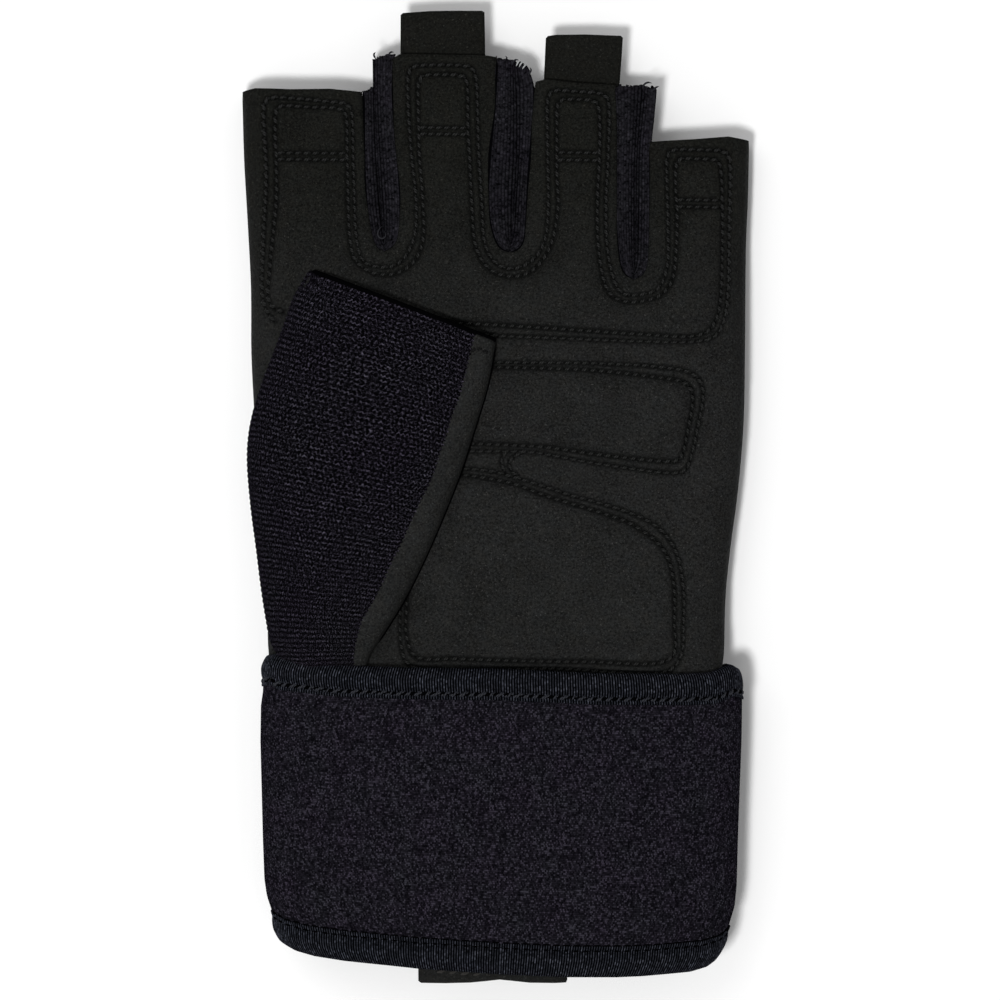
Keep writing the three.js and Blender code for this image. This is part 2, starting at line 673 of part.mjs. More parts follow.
// A binding: cloth folded round one edge of the wrap, as a U in section. reach is how far it goes from the
// edge, below 0 onto the wrap and above 0 past it.
function binding(upper) {
  const lip = GAP + BINDING;
  const fold = BINDING / 2;
  const legs = [
    { reach: -BINDING_WIDTH, depth: -lip },
    { reach: -BINDING_WIDTH / 2, depth: -lip },
    { reach: 0, depth: -lip },
    { reach: lip, depth: fold },
    { reach: lip, depth: WRAP_WALL - fold },
    { reach: 0, depth: WRAP_WALL + lip },
    { reach: -BINDING_WIDTH / 2, depth: WRAP_WALL + lip },
    { reach: -BINDING_WIDTH, depth: WRAP_WALL + lip },
    { reach: -BINDING_WIDTH, depth: WRAP_WALL + GAP },
    { reach: -BINDING_WIDTH / 2, depth: WRAP_WALL + GAP },
    { reach: 0, depth: WRAP_WALL + GAP },
    { reach: GAP, depth: WRAP_WALL },
    { reach: GAP, depth: 0 },
    { reach: 0, depth: -GAP },
    { reach: -BINDING_WIDTH / 2, depth: -GAP },
    { reach: -BINDING_WIDTH, depth: -GAP },
  ];
  const profile = legs.map(({ reach, depth }) => {
    const share = reach / WRAP_HEIGHT;
    return { along: upper ? 1 + share : -share, depth };
  });
  return roundTheWrap(upper ? profile : profile.reverse());
}

// The wrap's hook-and-loop end, pressed on the wrap on the side that it lies on.
function closure() {
  const y = WRAP_TOP - WRAP_HEIGHT / 2 - CLOSURE_LENGTH / 2;
  const x = WRAP_SHIFT - CLOSURE_WIDTH / 2;
  const corners = [
    new THREE.Vector2(x, y),
    new THREE.Vector2(x + CLOSURE_WIDTH, y),
    new THREE.Vector2(x + CLOSURE_WIDTH, y + CLOSURE_LENGTH),
    new THREE.Vector2(x, y + CLOSURE_LENGTH),
  ];
  const radius = CLOSURE_LENGTH / 6;
  return prism(roundedOutline(corners.map((point) => ({ point, radius }))), 0, CLOSURE_THICKNESS);
}

const glove = new THREE.Group();

function addPiece(name, solid, look) {
  const mesh = new THREE.Mesh(toGeometry(solid), new THREE.MeshStandardMaterial(look));
  mesh.name = name;
  glove.add(mesh);
}

addPiece("palm_panel", palmPanel(), SUEDE);
addPiece("back_panel", backPanel(), KNIT_CLOTH);
GUSSETS.forEach((gusset) => addPiece(gusset.name, gussetPiece(gusset), KNIT_CLOTH));
addPiece("upper_palm_pad", upperPad(), SUEDE);
addPiece("middle_palm_pad", pad(MIDDLE_PAD), SUEDE);
addPiece("heel_pad", pad(HEEL_PAD), SUEDE);
addPiece("pull_tab_middle", pullTab(1, 0.2, 0.79), SUEDE);
addPiece("pull_tab_ring", pullTab(2, 0.22, 0.86), SUEDE);
addPiece("cuff_tab", cuffTab(), SUEDE);
addPiece("thumb_knit", thumbKnit(), KNIT_CLOTH);
addPiece("thumb_strip", thumbStrip(), SUEDE);
addPiece("thumb_lining", thumbLining().subtract(thumbHole(GAP)), SUEDE);
addPiece("wrist_wrap", wristWrap(), JERSEY);
addPiece("wrap_binding_top", binding(true), BINDING_CLOTH);
addPiece("wrap_binding_bottom", binding(false), BINDING_CLOTH);
addPiece("wrap_closure", closure(), KNIT_CLOTH);

// The origin is the middle of the glove's outline on the surface that it lies on.
const bounds = new THREE.Box3().setFromObject(glove);
const middle = bounds.getCenter(new THREE.Vector3());
glove.position.set(-middle.x, -middle.y, -bounds.min.z);

export default glove;
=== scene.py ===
import math
from functools import partial

import bpy
import numpy as np
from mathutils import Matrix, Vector
from mathutils.geometry import delaunay_2d_cdt


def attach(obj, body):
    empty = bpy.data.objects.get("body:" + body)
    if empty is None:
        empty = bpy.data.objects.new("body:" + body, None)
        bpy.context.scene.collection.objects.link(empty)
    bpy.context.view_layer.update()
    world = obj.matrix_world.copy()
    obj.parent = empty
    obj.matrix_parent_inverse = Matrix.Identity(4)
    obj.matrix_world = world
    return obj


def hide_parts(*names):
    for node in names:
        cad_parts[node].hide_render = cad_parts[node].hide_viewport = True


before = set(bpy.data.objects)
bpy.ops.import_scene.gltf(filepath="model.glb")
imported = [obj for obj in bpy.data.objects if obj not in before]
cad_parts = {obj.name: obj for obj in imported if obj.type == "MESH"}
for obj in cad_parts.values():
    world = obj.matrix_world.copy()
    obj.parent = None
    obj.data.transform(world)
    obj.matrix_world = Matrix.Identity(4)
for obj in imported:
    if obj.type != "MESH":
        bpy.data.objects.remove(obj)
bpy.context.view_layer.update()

# Camera, light and floor.
# The glove lies on its back on a white table, palm up, and is seen from straight above through a long lens.
MM = 0.001
PHOTO_PIXEL = 0.21  # millimetres of the glove for one pixel of the photograph
PHOTO_ORIGIN = np.array((497.65, 498.97))  # the pixel that lies over the frame's origin
PHOTO_CENTRE = np.array((500.0, 500.0))
PHOTO_WIDTH = 1000
LENS = 200
SHARP_HEIGHT = 17.0  # millimetres above the table, where one pixel is exactly PHOTO_PIXEL
SENSOR = 36
CAMERA_DISTANCE = PHOTO_WIDTH * PHOTO_PIXEL * LENS / SENSOR


def on_photo(*pixels, height=SHARP_HEIGHT):
    """Millimetres in the frame of points seen in the photograph's pixels at a height above the table."""
    points = np.array(pixels, float).reshape(-1, 2)
    plan = (points - PHOTO_ORIGIN) * (PHOTO_PIXEL, -PHOTO_PIXEL)
    return plan * (1 + (SHARP_HEIGHT - height) / CAMERA_DISTANCE)


scene = bpy.context.scene
camera_data = bpy.data.cameras.new("camera")
camera_data.lens = LENS
camera_data.sensor_width = SENSOR
camera_data.clip_end = 10
camera = bpy.data.objects.new("camera", camera_data)
scene.collection.objects.link(camera)
scene.camera = camera
camera_x, camera_y = on_photo(PHOTO_CENTRE)[0]
camera.location = (camera_x * MM, camera_y * MM, (CAMERA_DISTANCE + SHARP_HEIGHT) * MM)

scene.view_settings.view_transform = "Standard"
world = bpy.data.worlds.new("soft_room")
world.use_nodes = True
world.node_tree.nodes["Background"].inputs["Color"].default_value = (1, 1, 1, 1)
world.node_tree.nodes["Background"].inputs["Strength"].default_value = 0.45
scene.world = world


def softbox(name, location, size, power):
    """A square lamp that looks at the middle of the glove."""
    lamp = bpy.data.lights.new(name, "AREA")
    lamp.shape = "SQUARE"
    lamp.size = size
    lamp.energy = power
    obj = bpy.data.objects.new(name, lamp)
    obj.location = location
    obj.rotation_euler = (-Vector(location)).to_track_quat("-Z", "Y").to_euler()
    scene.collection.objects.link(obj)


softbox("key", (-0.15, -0.19, 1.1), 0.13, 8.6)
softbox("fill", (-0.3, 0.35, 1.0), 0.5, 1.6)


def make_mesh(name, vertices, faces, material):
    """A smooth-shaded mesh object from millimetres."""
    mesh = bpy.data.meshes.new(name)
    mesh.from_pydata((np.asarray(vertices, float) * MM).tolist(), [], [tuple(map(int, f)) for f in faces])
    mesh.validate()
    mesh.shade_smooth()
    mesh.materials.append(material)
    obj = bpy.data.objects.new(name, mesh)
    scene.collection.objects.link(obj)
    return obj


def new_material(name, roughness, specular=0.5, colour=None):
    """A material with its node tree and its shader."""
    material = bpy.data.materials.new(name)
    material.use_nodes = True
    shader = material.node_tree.nodes["Principled BSDF"]
    shader.inputs["Roughness"].default_value = roughness
    shader.inputs["Specular IOR Level"].default_value = specular
    if colour:
        shader.inputs["Base Color"].default_value = (*colour, 1)
    return material, material.node_tree, shader


FLOOR_REACH = 3000
FLOOR_LEVEL = -0.2
floor_material = new_material("white_table", 0.9, colour=(0.9, 0.9, 0.9))[0]
floor_plan = ((-1, -1), (1, -1), (1, 1), (-1, 1))
floor_corners = [(x * FLOOR_REACH, y * FLOOR_REACH, FLOOR_LEVEL) for x, y in floor_plan]
floor = make_mesh("table", floor_corners, [(0, 1, 2, 3)], floor_material)

# Form of the hand.
# The hollow hand lies flattened: its leather top swells up from the two side seams and from the slits
# between the fingers. Every piece below sits on this form, which follows the solids of the frame.
SEAM_HEIGHT = 8.0
LEFT_SIDE = on_photo(
    (242, 91), (244, 160), (246.2, 200), (248.5, 240), (251, 288), (251.5, 351), (254, 405), (256.5, 445),
    (258, 490), (261, 530), (265, 580), (268, 620), (269, 645), (272, 668), (279, 720), (281, 800),
    (288, 945), height=SEAM_HEIGHT)
RIGHT_SIDE = on_photo(
    (749.3, 141), (748, 200), (746, 250), (745, 340), (743.5, 420), (740, 468), (736, 505), (731, 541),
    (725.4, 594), (723, 650), (719, 680), (716, 720), (714, 800), (700, 945), height=SEAM_HEIGHT)
SLITS = [on_photo((374, 40), (375, 90), (379, 160), (384, 226)),
         on_photo((517, 40), (517, 90), (514, 160), (510.5, 226)),
         on_photo((640, 70), (637, 120), (636, 170), (634.5, 254))]
# Photo row, height of the leather's top and height of the side seam, in millimetres.
FORM_ROWS = np.array([(40, 14.5, 7.2), (235, 14.8, 7.2), (300, 16.8, 8.2), (380, 18.0, 9.0), (585, 18.0, 9.0),
                      (625, 19.0, 10.2), (668, 22.4, 14.4), (1000, 23.0, 14.8)])
SIDE_ROUND = 11.0  # how far in from a side the leather goes on rising
SLIT_ROUND = 8.0


def way_along(path):
    """How far along a path each of its points lies."""
    return np.concatenate([[0], np.cumsum(np.linalg.norm(np.diff(path, axis=0), axis=1))])


def at_ways(path, ways, places):
    """Points of a path at places along it, where ways says how far along its own points lie."""
    return np.column_stack([np.interp(places, ways, path[:, k]) for k in range(path.shape[1])])


def smooth_path(points, step):
    """Points every step millimetres along a smooth curve through the given ones, which doesn't overshoot."""
    points = np.asarray(points, float)
    padded = np.vstack([2 * points[:1] - points[1:2], points, 2 * points[-1:] - points[-2:-1]])
    pieces = []
    for a, b, c, d in zip(padded, padded[1:], padded[2:], padded[3:]):
        before, span, after = (math.sqrt(np.linalg.norm(q - p)) + 1e-6 for p, q in ((a, b), (b, c), (c, d)))
        t = np.linspace(0, span, 12, endpoint=False)[:, None]
        way_b = (b - a) / before - (c - a) / (before + span) + (c - b) / span
        way_c = (c - b) / span - (d - b) / (span + after) + (d - c) / after
        share = t / span
        pieces.append((2 * share**3 - 3 * share**2 + 1) * b + (share**3 - 2 * share**2 + share) * span * way_b
                      + (3 * share**2 - 2 * share**3) * c + (share**3 - share**2) * span * way_c)
    fine = np.vstack([*pieces, points[-1:]])
    ways = way_along(fine)
    count = max(2, int(round(ways[-1] / step)) + 1)
    return at_ways(fine, ways, np.linspace(0, ways[-1], count))


def distance_to(points, path):
    """How far each plan point lies from a path."""
    best = np.full(len(points), 1e9)
    for a, b in zip(path, path[1:]):
        step = b - a
        share = ((points - a) @ step) / max(step @ step, 1e-12)
        nearest = a + np.clip(share, 0, 1)[:, None] * step
        best = np.minimum(best, ((points - nearest) ** 2).sum(1))
    return np.sqrt(best)


def distance_to_any(points, paths):
    """How far each plan point lies from the nearest of some paths."""
    return np.min([distance_to(points, path) for path in paths], axis=0)


def distance_to_rim(points, outline):
    """How far each plan point lies from a closed outline."""
    return distance_to(points, np.vstack([outline, outline[:1]]))


def inside(points, outline):
    """Which plan points lie inside a closed outline."""
    result = np.zeros(len(points), bool)
    x, y = points[:, 0], points[:, 1]
    for (ax, ay), (bx, by) in zip(outline, np.roll(outline, -1, axis=0)):
        if ay == by:
            continue
        crosses = (ay > y) != (by > y)
        result ^= crosses & (x < (bx - ax) * (y - ay) / (by - ay) + ax)
    return result


left_path = smooth_path(LEFT_SIDE, 3.0)
right_path = smooth_path(RIGHT_SIDE, 3.0)
slit_paths = [smooth_path(slit, 3.0) for slit in SLITS]


def swell(share, power=2.4):
    """A rounded rise from 0 to 1."""
    return (1 - (1 - np.clip(share, 0, 1)) ** power) ** (1 / power)


def ease(share):
    """A soft rise from 0 to 1."""
    share = np.clip(share, 0, 1)
    return share * share * (3 - 2 * share)


def form_row(y, column):
    """A column of FORM_ROWS at frame heights y, eased between the rows."""
    rows = PHOTO_ORIGIN[1] - np.asarray(y) / PHOTO_PIXEL
    index = np.clip(np.searchsorted(FORM_ROWS[:, 0], rows) - 1, 0, len(FORM_ROWS) - 2)
    low, high = FORM_ROWS[index], FORM_ROWS[index + 1]
    share = ease((rows - low[:, 0]) / (high[:, 0] - low[:, 0]))
    return low[:, column] + (high[:, column] - low[:, column]) * share


def form_swell(points):
    """Rise of the hand's form: 0 at its side seams and in its slits, 1 well away from them."""
    side = distance_to_any(points, [left_path, right_path])
    slit = distance_to_any(points, slit_paths)
    return swell(side / SIDE_ROUND) * swell(slit / SLIT_ROUND, 2.8)


def form_top(points):
    """Height of the hand's upper surface over plan points, without its pads."""
    seam = form_row(points[:, 1], 2)
    return seam + (form_row(points[:, 1], 1) - seam) * form_swell(points)


def plan_mesh(name, outline, extra, height, material, spacing=1.0, gaps=()):
    """A sheet over a closed outline in the plan: a fine net of triangles lifted to a height."""
    rim = []
    for a, b in zip(outline, np.roll(outline, -1, axis=0)):
        count = max(1, int(np.linalg.norm(b - a) / spacing))
        rim += [a + (b - a) * k / count for k in range(count)]
    rim = np.array(rim)
    inner = extra[inside(extra, outline)]
    inner = inner[distance_to_rim(inner, outline) > spacing * 0.4]
    plan = np.vstack([rim, inner])
    edges = [(k, (k + 1) % len(rim)) for k in range(len(rim))]
    found = delaunay_2d_cdt([Vector(p) for p in plan], edges, [], 1, 1e-3)
    plan = np.array([tuple(v) for v in found[0]])
    faces = np.array([f for f in found[2] if len(f) == 3])
    middles = plan[faces].mean(axis=1)
    keep = inside(middles, outline)
    for gap in gaps:
        keep &= ~inside(middles, gap)
    faces = faces[keep]
    a, b, c = plan[faces[:, 0]], plan[faces[:, 1]], plan[faces[:, 2]]
    turned = (b[:, 0] - a[:, 0]) * (c[:, 1] - a[:, 1]) - (b[:, 1] - a[:, 1]) * (c[:, 0] - a[:, 0]) < 0
    faces[turned] = faces[turned][:, ::-1]
    used, compact = np.unique(faces, return_inverse=True)
    vertices = np.column_stack([plan[used], height(plan[used])])
    return make_mesh(name, vertices, compact.reshape(-1, 3), material)


def lattice(low, high, step):
    """Plan points on a triangular net between two corners."""
    rows = np.arange(low[1], high[1], step * 0.87)
    columns = np.arange(low[0], high[0], step)
    points = [(x + (step / 2) * (j % 2), y) for j, y in enumerate(rows) for x in columns]
    return np.array(points)


def rolled_rim(points, outline, width):
    """How a sheet rolls over at its rim: 1 on the rim, 0 from a width inside it."""
    return np.clip(1 - distance_to_rim(points, outline) / width, 0, 1) ** 2


def plan_of(obj):
    """Plan points of a mesh's vertices, in millimetres."""
    places = np.zeros(3 * len(obj.data.vertices))
    obj.data.vertices.foreach_get("co", places)
    return places.reshape(-1, 3)[:, :2] / MM


def thicken(obj, thickness):
    """Gives a sheet its wall, away from its outer side."""
    solid = obj.modifiers.new("wall", "SOLIDIFY")
    solid.thickness = thickness * MM
    solid.offset = -1
    return obj


def show(piece, slot, *nodes):
    """The piece is seen in place of its solids and moves with the glove; its slot is not used."""
    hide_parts(*nodes)
    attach(piece, "root")


# Suede palm.
# One skin of olive-black split leather, padded in three fields with foam that two rows of stitches hold in,
# and sewn at the sides to the knit back. It reaches down inside the wrap to the cuff.
END_HEIGHT = 12.0  # of the leather's cut ends
INDEX_TOP = on_photo((242, 91), (255, 88.5), (290, 90), (330, 89.5), (362, 92.5), height=END_HEIGHT)
MIDDLE_TOP = on_photo((391, 56), (400, 55), (440, 55.5), (485, 56), (497, 58), height=END_HEIGHT)
RING_TOP = on_photo((535.5, 79), (545, 80), (580, 84), (616, 86), height=END_HEIGHT)
PINKY_TOP = on_photo((649.5, 138), (700, 139.5), (728, 137), (749.3, 140), height=END_HEIGHT)
GUSSET_EDGES = [
    on_photo(
        (362, 95), (364, 150), (366, 190), (369, 220), (373, 238), (376.8, 247), (384.5, 251), (392.3, 247),
        (397, 239), (399.5, 215), (398, 175), (394, 132), (391.7, 88), (391, 58)),
    on_photo(
        (496.5, 60), (495, 111), (491, 156), (489, 195), (491.5, 225), (496, 240), (501, 248),
        (509.5, 251.5), (518, 248.5), (523, 241), (525.5, 222), (527.6, 179), (531, 133), (535.5, 81)),
    on_photo(
        (615.5, 88), (617, 120), (617, 180), (617, 224), (619, 250), (621.5, 266), (626, 275), (634, 279.5),
        (642.5, 275.5), (647, 266), (649, 247), (650, 200), (650, 170), (649.5, 141)),
]
CUFF_END = on_photo((700, 945), (288, 945))
# The two long rows that run round the fingers and the upper pad: the outer one nearer the leather's edges.
OUTER_ROW = on_photo(
    (274, 321), (264, 304), (263, 242), (266, 176), (264, 97), (300, 98), (330, 101), (350, 103.5),
    (353, 170), (356.5, 242), (362, 260), (373, 266), (393, 266), (406, 255), (415, 233), (416, 198),
    (411.5, 154), (408, 100), (409, 66), (440, 64), (474, 66), (478.6, 154), (482, 208), (484, 240),
    (490, 256), (500, 266), (509, 268.5), (520.6, 267), (536.4, 256), (545.5, 238), (548.5, 207),
    (548, 147), (549, 90), (580, 91), (608, 94), (608, 160), (606, 200), (607, 245), (611, 270), (618, 289),
    (625, 294.5), (642.5, 294.5), (658, 289), (667, 269), (668.5, 224), (667.5, 180), (668, 150),
    (700, 149), (729, 151), (729.5, 224), (728, 287), (725, 315), (716, 335), (698, 341), (639, 341),
    (571, 338.5), (480, 335), (430, 332))
INNER_ROW = on_photo(
    (283, 312), (270, 304), (270, 264), (276, 198), (276, 105), (310, 106), (345, 108.5), (347, 158),
    (350, 242), (355, 260), (371, 272), (393, 274), (412.6, 263), (422.5, 242), (422.5, 198), (419, 154),
    (418, 110), (419, 75), (440, 73.5), (466, 75), (468, 126), (470, 165), (472, 209), (475, 243),
    (483, 262), (495, 272.5), (509, 276.2), (523, 275), (536.4, 267), (550, 247), (556, 224), (558.5, 201),
    (557, 178), (557, 130), (558, 99), (580, 98.5), (598, 100), (600, 156), (598, 190), (598.5, 246),
    (606, 287), (615, 298), (629, 302), (643, 301), (660, 295.5), (672, 281), (676.5, 247), (677.5, 213),
    (676, 190), (677, 158), (700, 158), (720, 159), (721, 292), (717, 317), (709, 330.5), (693, 336),
    (639, 334), (548, 328), (480, 324), (430, 322))
FINGER_BARS = [
    on_photo((276, 152), (346, 152.5)), on_photo((276, 158.5), (347, 159)),
    on_photo((419, 126.5), (467, 127)), on_photo((419, 133), (468, 133.5)),
    on_photo((558, 151.5), (600, 152)), on_photo((557, 159), (600, 159.5)),
    on_photo((677, 199), (720, 199.5)), on_photo((677, 206), (720, 206.5)),
]
MIDDLE_ROWS = [
    on_photo(
        (470, 361.5), (494, 362.3), (588, 363.3), (624, 364.6), (648, 365.8), (672, 368.5), (686.5, 371),
        (697, 377), (703, 390), (697, 429), (692, 452), (686, 471), (673, 473), (595, 463), (532, 452),
        (480, 451), (450, 450)),
    on_photo(
        (470, 366.8), (494, 367.3), (552, 368.7), (588, 370), (624, 373.3), (648, 376.2), (667, 378.6),
        (684, 382), (691, 389), (692.5, 402), (688, 429), (680, 461), (595, 454), (545, 447), (471, 443.5),
        (450, 442)),
]
HEEL_ROWS = [
    on_photo(
        (445, 468.5), (465, 468.8), (496, 472), (520, 479), (544, 486.5), (568, 494.4), (592, 501),
        (616, 508), (633, 514), (652, 523), (664, 533), (676, 552), (683, 586), (683, 624), (680, 655),
        (668, 670), (557, 668), (410, 664.6), (401.5, 647), (400, 616), (399, 590)),
    on_photo(
        (445, 474.3), (463, 474.8), (491, 478.7), (517, 484.5), (532, 490.5), (556, 499), (580, 506),
        (609, 515.2), (628, 522), (641, 530), (656, 541), (666, 554), (673, 578), (674, 624), (671, 657),
        (583, 661), (456, 658), (415.5, 656), (406.6, 637), (406.6, 606), (406, 590)),
]


def square_corners(row, reach=0.6, sharp=0.5):
    """A row with its sharp corners drawn tight; gentle bends stay as they are."""
    kept = [row[0]]
    for before, corner, after in zip(row, row[1:], row[2:]):
        to = (corner - before) / np.linalg.norm(corner - before)
        away = (after - corner) / np.linalg.norm(after - corner)
        kept += [corner] if to @ away > sharp else [corner - reach * to, corner + reach * away]
    kept.append(row[-1])
    return np.array(kept)


OUTER_ROW, INNER_ROW, *MIDDLE_ROWS = [square_corners(row) for row in (OUTER_ROW, INNER_ROW, *MIDDLE_ROWS)]
WEDGE_ROWS = [on_photo((521, 453), (513, 456.5), (508.5, 463), (511, 470.5), (518, 476)),
              on_photo((507, 451.5), (502.5, 457), (501.5, 464), (504.5, 471))]
STITCH_ROWS = [OUTER_ROW, INNER_ROW, *FINGER_BARS, *MIDDLE_ROWS, *HEEL_ROWS, *WEDGE_ROWS]
ROW_PAIRS = ((0, 1), (10, 11), (12, 13), (14, 15))  # places in STITCH_ROWS of the rows with a ridge between
PAD_HEIGHT = 1.9
FINGER_PAD_HEIGHT = 0.7
PAD_START, PAD_FULL = 150, 280  # photo rows between which the fingers' flat pads grow to their full height
PAD_ROUND = 5.0
RIDGE_HEIGHT = 0.45  # between the two rows of a pair
PAIR_WIDTH = 2.0
CHANNEL_DEPTH = 0.55
CHANNEL_WIDTH = 0.5
SKIN_THICKNESS = 1.1
THUMB_HOLE = on_photo(
    (262, 450), (300, 440), (345, 460), (372, 520), (378, 580), (360, 640), (290, 645), (276, 600),
    (264, 530))

row_paths = [smooth_path(row, 1.0) for row in STITCH_ROWS]
PAD_ROWS = (INNER_ROW, MIDDLE_ROWS[1], HEEL_ROWS[1])
upper_field, middle_field, heel_field = [smooth_path(row, 1.5) for row in PAD_ROWS]
noise_source = np.random.default_rng(11)
WAVES = [[noise_source.uniform(*span) for span in ((0.08, 0.45), (0, math.tau), (0, math.tau))]
         for _ in range(14)]  # pace, direction and start of each wave


def unevenness(points):
    """Slow waves of hand-cut leather, about -1 to 1."""
    total = np.zeros(len(points))
    for pace, turn, start in WAVES:
        total += np.sin(pace * (points[:, 0] * math.cos(turn) + points[:, 1] * math.sin(turn)) + start)
    return total / 4


def palm_height(points):
    """Height of the suede skin: the form, its pads, the ridge of each pair of rows and the sunken rows."""
    row = distance_to_any(points, row_paths)
    photo_row = PHOTO_ORIGIN[1] - points[:, 1] / PHOTO_PIXEL
    grown = ease((photo_row - PAD_START) / (PAD_FULL - PAD_START))
    upper = FINGER_PAD_HEIGHT + (PAD_HEIGHT - FINGER_PAD_HEIGHT) * grown
    puff = np.where(inside(points, upper_field), upper, 0)
    puff = np.where(inside(points, middle_field) | inside(points, heel_field), PAD_HEIGHT, puff)
    padded = puff * swell(row / PAD_ROUND, 2.0)
    outer, inner = [distance_to_any(points, [row_paths[k] for k in side]) for side in zip(*ROW_PAIRS)]
    between = outer + inner < PAIR_WIDTH * 1.3
    ridge = RIDGE_HEIGHT * np.exp(-((outer - inner) / PAIR_WIDTH) ** 4 * 8) * between
    ridge *= np.clip(row / 0.5, 0, 1)
    channel = CHANNEL_DEPTH * np.exp(-(row / CHANNEL_WIDTH) ** 2)
    return form_top(points) + padded + ridge - channel + 0.12 * unevenness(points)


skin_outline = np.vstack([
    INDEX_TOP, GUSSET_EDGES[0], MIDDLE_TOP[1:], GUSSET_EDGES[1], RING_TOP[1:], GUSSET_EDGES[2], PINKY_TOP[1:],
    smooth_path(RIGHT_SIDE, 2.0)[1:], CUFF_END[1:], smooth_path(LEFT_SIDE, 2.0)[::-1][1:-1]])
fine_low, fine_high = on_photo((235, 705), (755, 40))
cuff_low, cuff_high = on_photo((235, 950), (755, 712))
net = lattice(fine_low, fine_high, 1.0)
net = net[distance_to_any(net, row_paths) > 1.15]
beside = []  # points in close lines along the rows, where the channels need them
for path in row_paths:
    way = np.gradient(path, axis=0)
    across = np.column_stack([-way[:, 1], way[:, 0]]) / np.linalg.norm(way, axis=1)[:, None]
    beside += [path + across * offset for offset in (-0.85, -0.42, 0, 0.42, 0.85)]
skin_points = np.vstack([net, *beside, lattice(cuff_low, cuff_high, 4.0)])


def add_node(tree, kind, inputs=(), **settings):
    """A node with its settings; an input is given as a plain value or as the socket linked to it."""
    node = tree.nodes.new(kind)
    for key, setting in settings.items():
        setattr(node, key, setting)
    for key, source in dict(inputs).items():
        if isinstance(source, bpy.types.NodeSocket):
            tree.links.new(source, node.inputs[key])
        else:
            node.inputs[key].default_value = source
    return node


def noise(tree, place, scale, detail, roughness=0.6):
    """Noise from 0 to 1 over a place."""
    inputs = {"Vector": place, "Scale": scale, "Detail": detail, "Roughness": roughness}
    return add_node(tree, "ShaderNodeTexNoise", inputs).outputs["Fac"]


def mix(tree, first, second, share, **settings):
    """A colour between two."""
    inputs = {"A": first, "B": second, "Factor": share}
    return add_node(tree, "ShaderNodeMix", inputs, data_type="RGBA", **settings).outputs["Result"]


def dress(tree, shader, colour, height, strength, distance):
    """Gives a shader its colour and its fine relief."""
    tree.links.new(colour, shader.inputs["Base Color"])
    inputs = {"Height": height, "Strength": strength, "Distance": distance}
    relief = add_node(tree, "ShaderNodeBump", inputs)
    tree.links.new(relief.outputs["Normal"], shader.inputs["Normal"])


def suede(name, dark, light, bump, channel_shade=False):
    """Olive-black split leather: short nap, pale flecks, and darker and warmer towards the fingertips."""
    material, tree, shader = new_material(name, 0.95, 0.05)
    place = add_node(tree, "ShaderNodeTexCoord").outputs["Object"]
    nap = noise(tree, place, 2100, 5, 0.8)
    blend = add_node(tree, "ShaderNodeMix", {"Factor": 0.14, "A": nap, "B": noise(tree, place, 110, 4)})
    ramp = add_node(tree, "ShaderNodeValToRGB", {"Fac": blend.outputs["Result"]})
    for stop, position, colour in zip(ramp.color_ramp.elements, (0.4, 0.6), (dark, light)):
        stop.position = position
        stop.color = (*colour, 1)
    fleck_inputs = {"From Min": 0.65, "From Max": 0.76, "To Max": 0.8, "Value": noise(tree, place, 2600, 1)}
    flecks = add_node(tree, "ShaderNodeMapRange", fleck_inputs).outputs["Result"]
    colour = mix(tree, ramp.outputs["Color"], (0.045, 0.045, 0.044, 1), flecks)
    up = add_node(tree, "ShaderNodeSeparateXYZ", {0: place}).outputs["Y"]
    palmward_inputs = {"From Min": FINGERTIPS * MM, "From Max": PALM_MIDDLE * MM, "Value": up}
    palmward = add_node(tree, "ShaderNodeMapRange", palmward_inputs, interpolation_type="SMOOTHSTEP")
    tone = mix(tree, (0.59, 0.595, 0.525, 1), (1, 1, 1, 1), palmward.outputs["Result"])
    hue = mix(tree, (1.09, 1.0, 0.88, 1), (0.92, 1.0, 1.1, 1), noise(tree, place, 420, 4, 0.75))
    for tint in (tone, hue):
        colour = mix(tree, colour, tint, 1, blend_type="MULTIPLY")
    # Painted shade: the suede is darkened to near black in its stitch channels.
    if channel_shade:
        painted_shade = add_node(tree, "ShaderNodeAttribute", attribute_name="channel_shade").outputs["Fac"]
        colour = mix(tree, colour, (0.0012, 0.0013, 0.0012, 1), painted_shade)
    dress(tree, shader, colour, nap, bump, 0.0002)
    return material


FINGERTIPS, PALM_MIDDLE = 78.0, 20.0  # between these heights in the frame the nap grows lighter and more neutral towards the palm
palm_suede = suede("olive_suede", (0.004, 0.0041, 0.004), (0.0192, 0.0197, 0.0194), 0.8, channel_shade=True)
palm_skin = plan_mesh("palm_skin", skin_outline, skin_points, palm_height, palm_suede, 0.9, [THUMB_HOLE])
# Painted shade in the stitch channels: each vertex's darkening, strongest on a row's line.
channel_shade = palm_skin.data.attributes.new("channel_shade", "FLOAT", "POINT")
row_distance = distance_to_any(plan_of(palm_skin), row_paths)
channel_shade.data.foreach_set("value", 0.9 * np.exp(-(row_distance / CHANNEL_WIDTH) ** 2))
palm_skin = thicken(palm_skin, SKIN_THICKNESS)
show(palm_skin, "suede", "palm_panel", "upper_palm_pad", "middle_palm_pad", "heel_pad")

# Thread of the palm.
# Every row is lockstitched in black two-ply bonded thread; each stitch is a short twisted dash that dives
# into the suede at both ends and lies a little askew to its row.
STITCH_PITCH = 1.8
STITCH_SLANT = 0.42  # radians between a stitch and its row


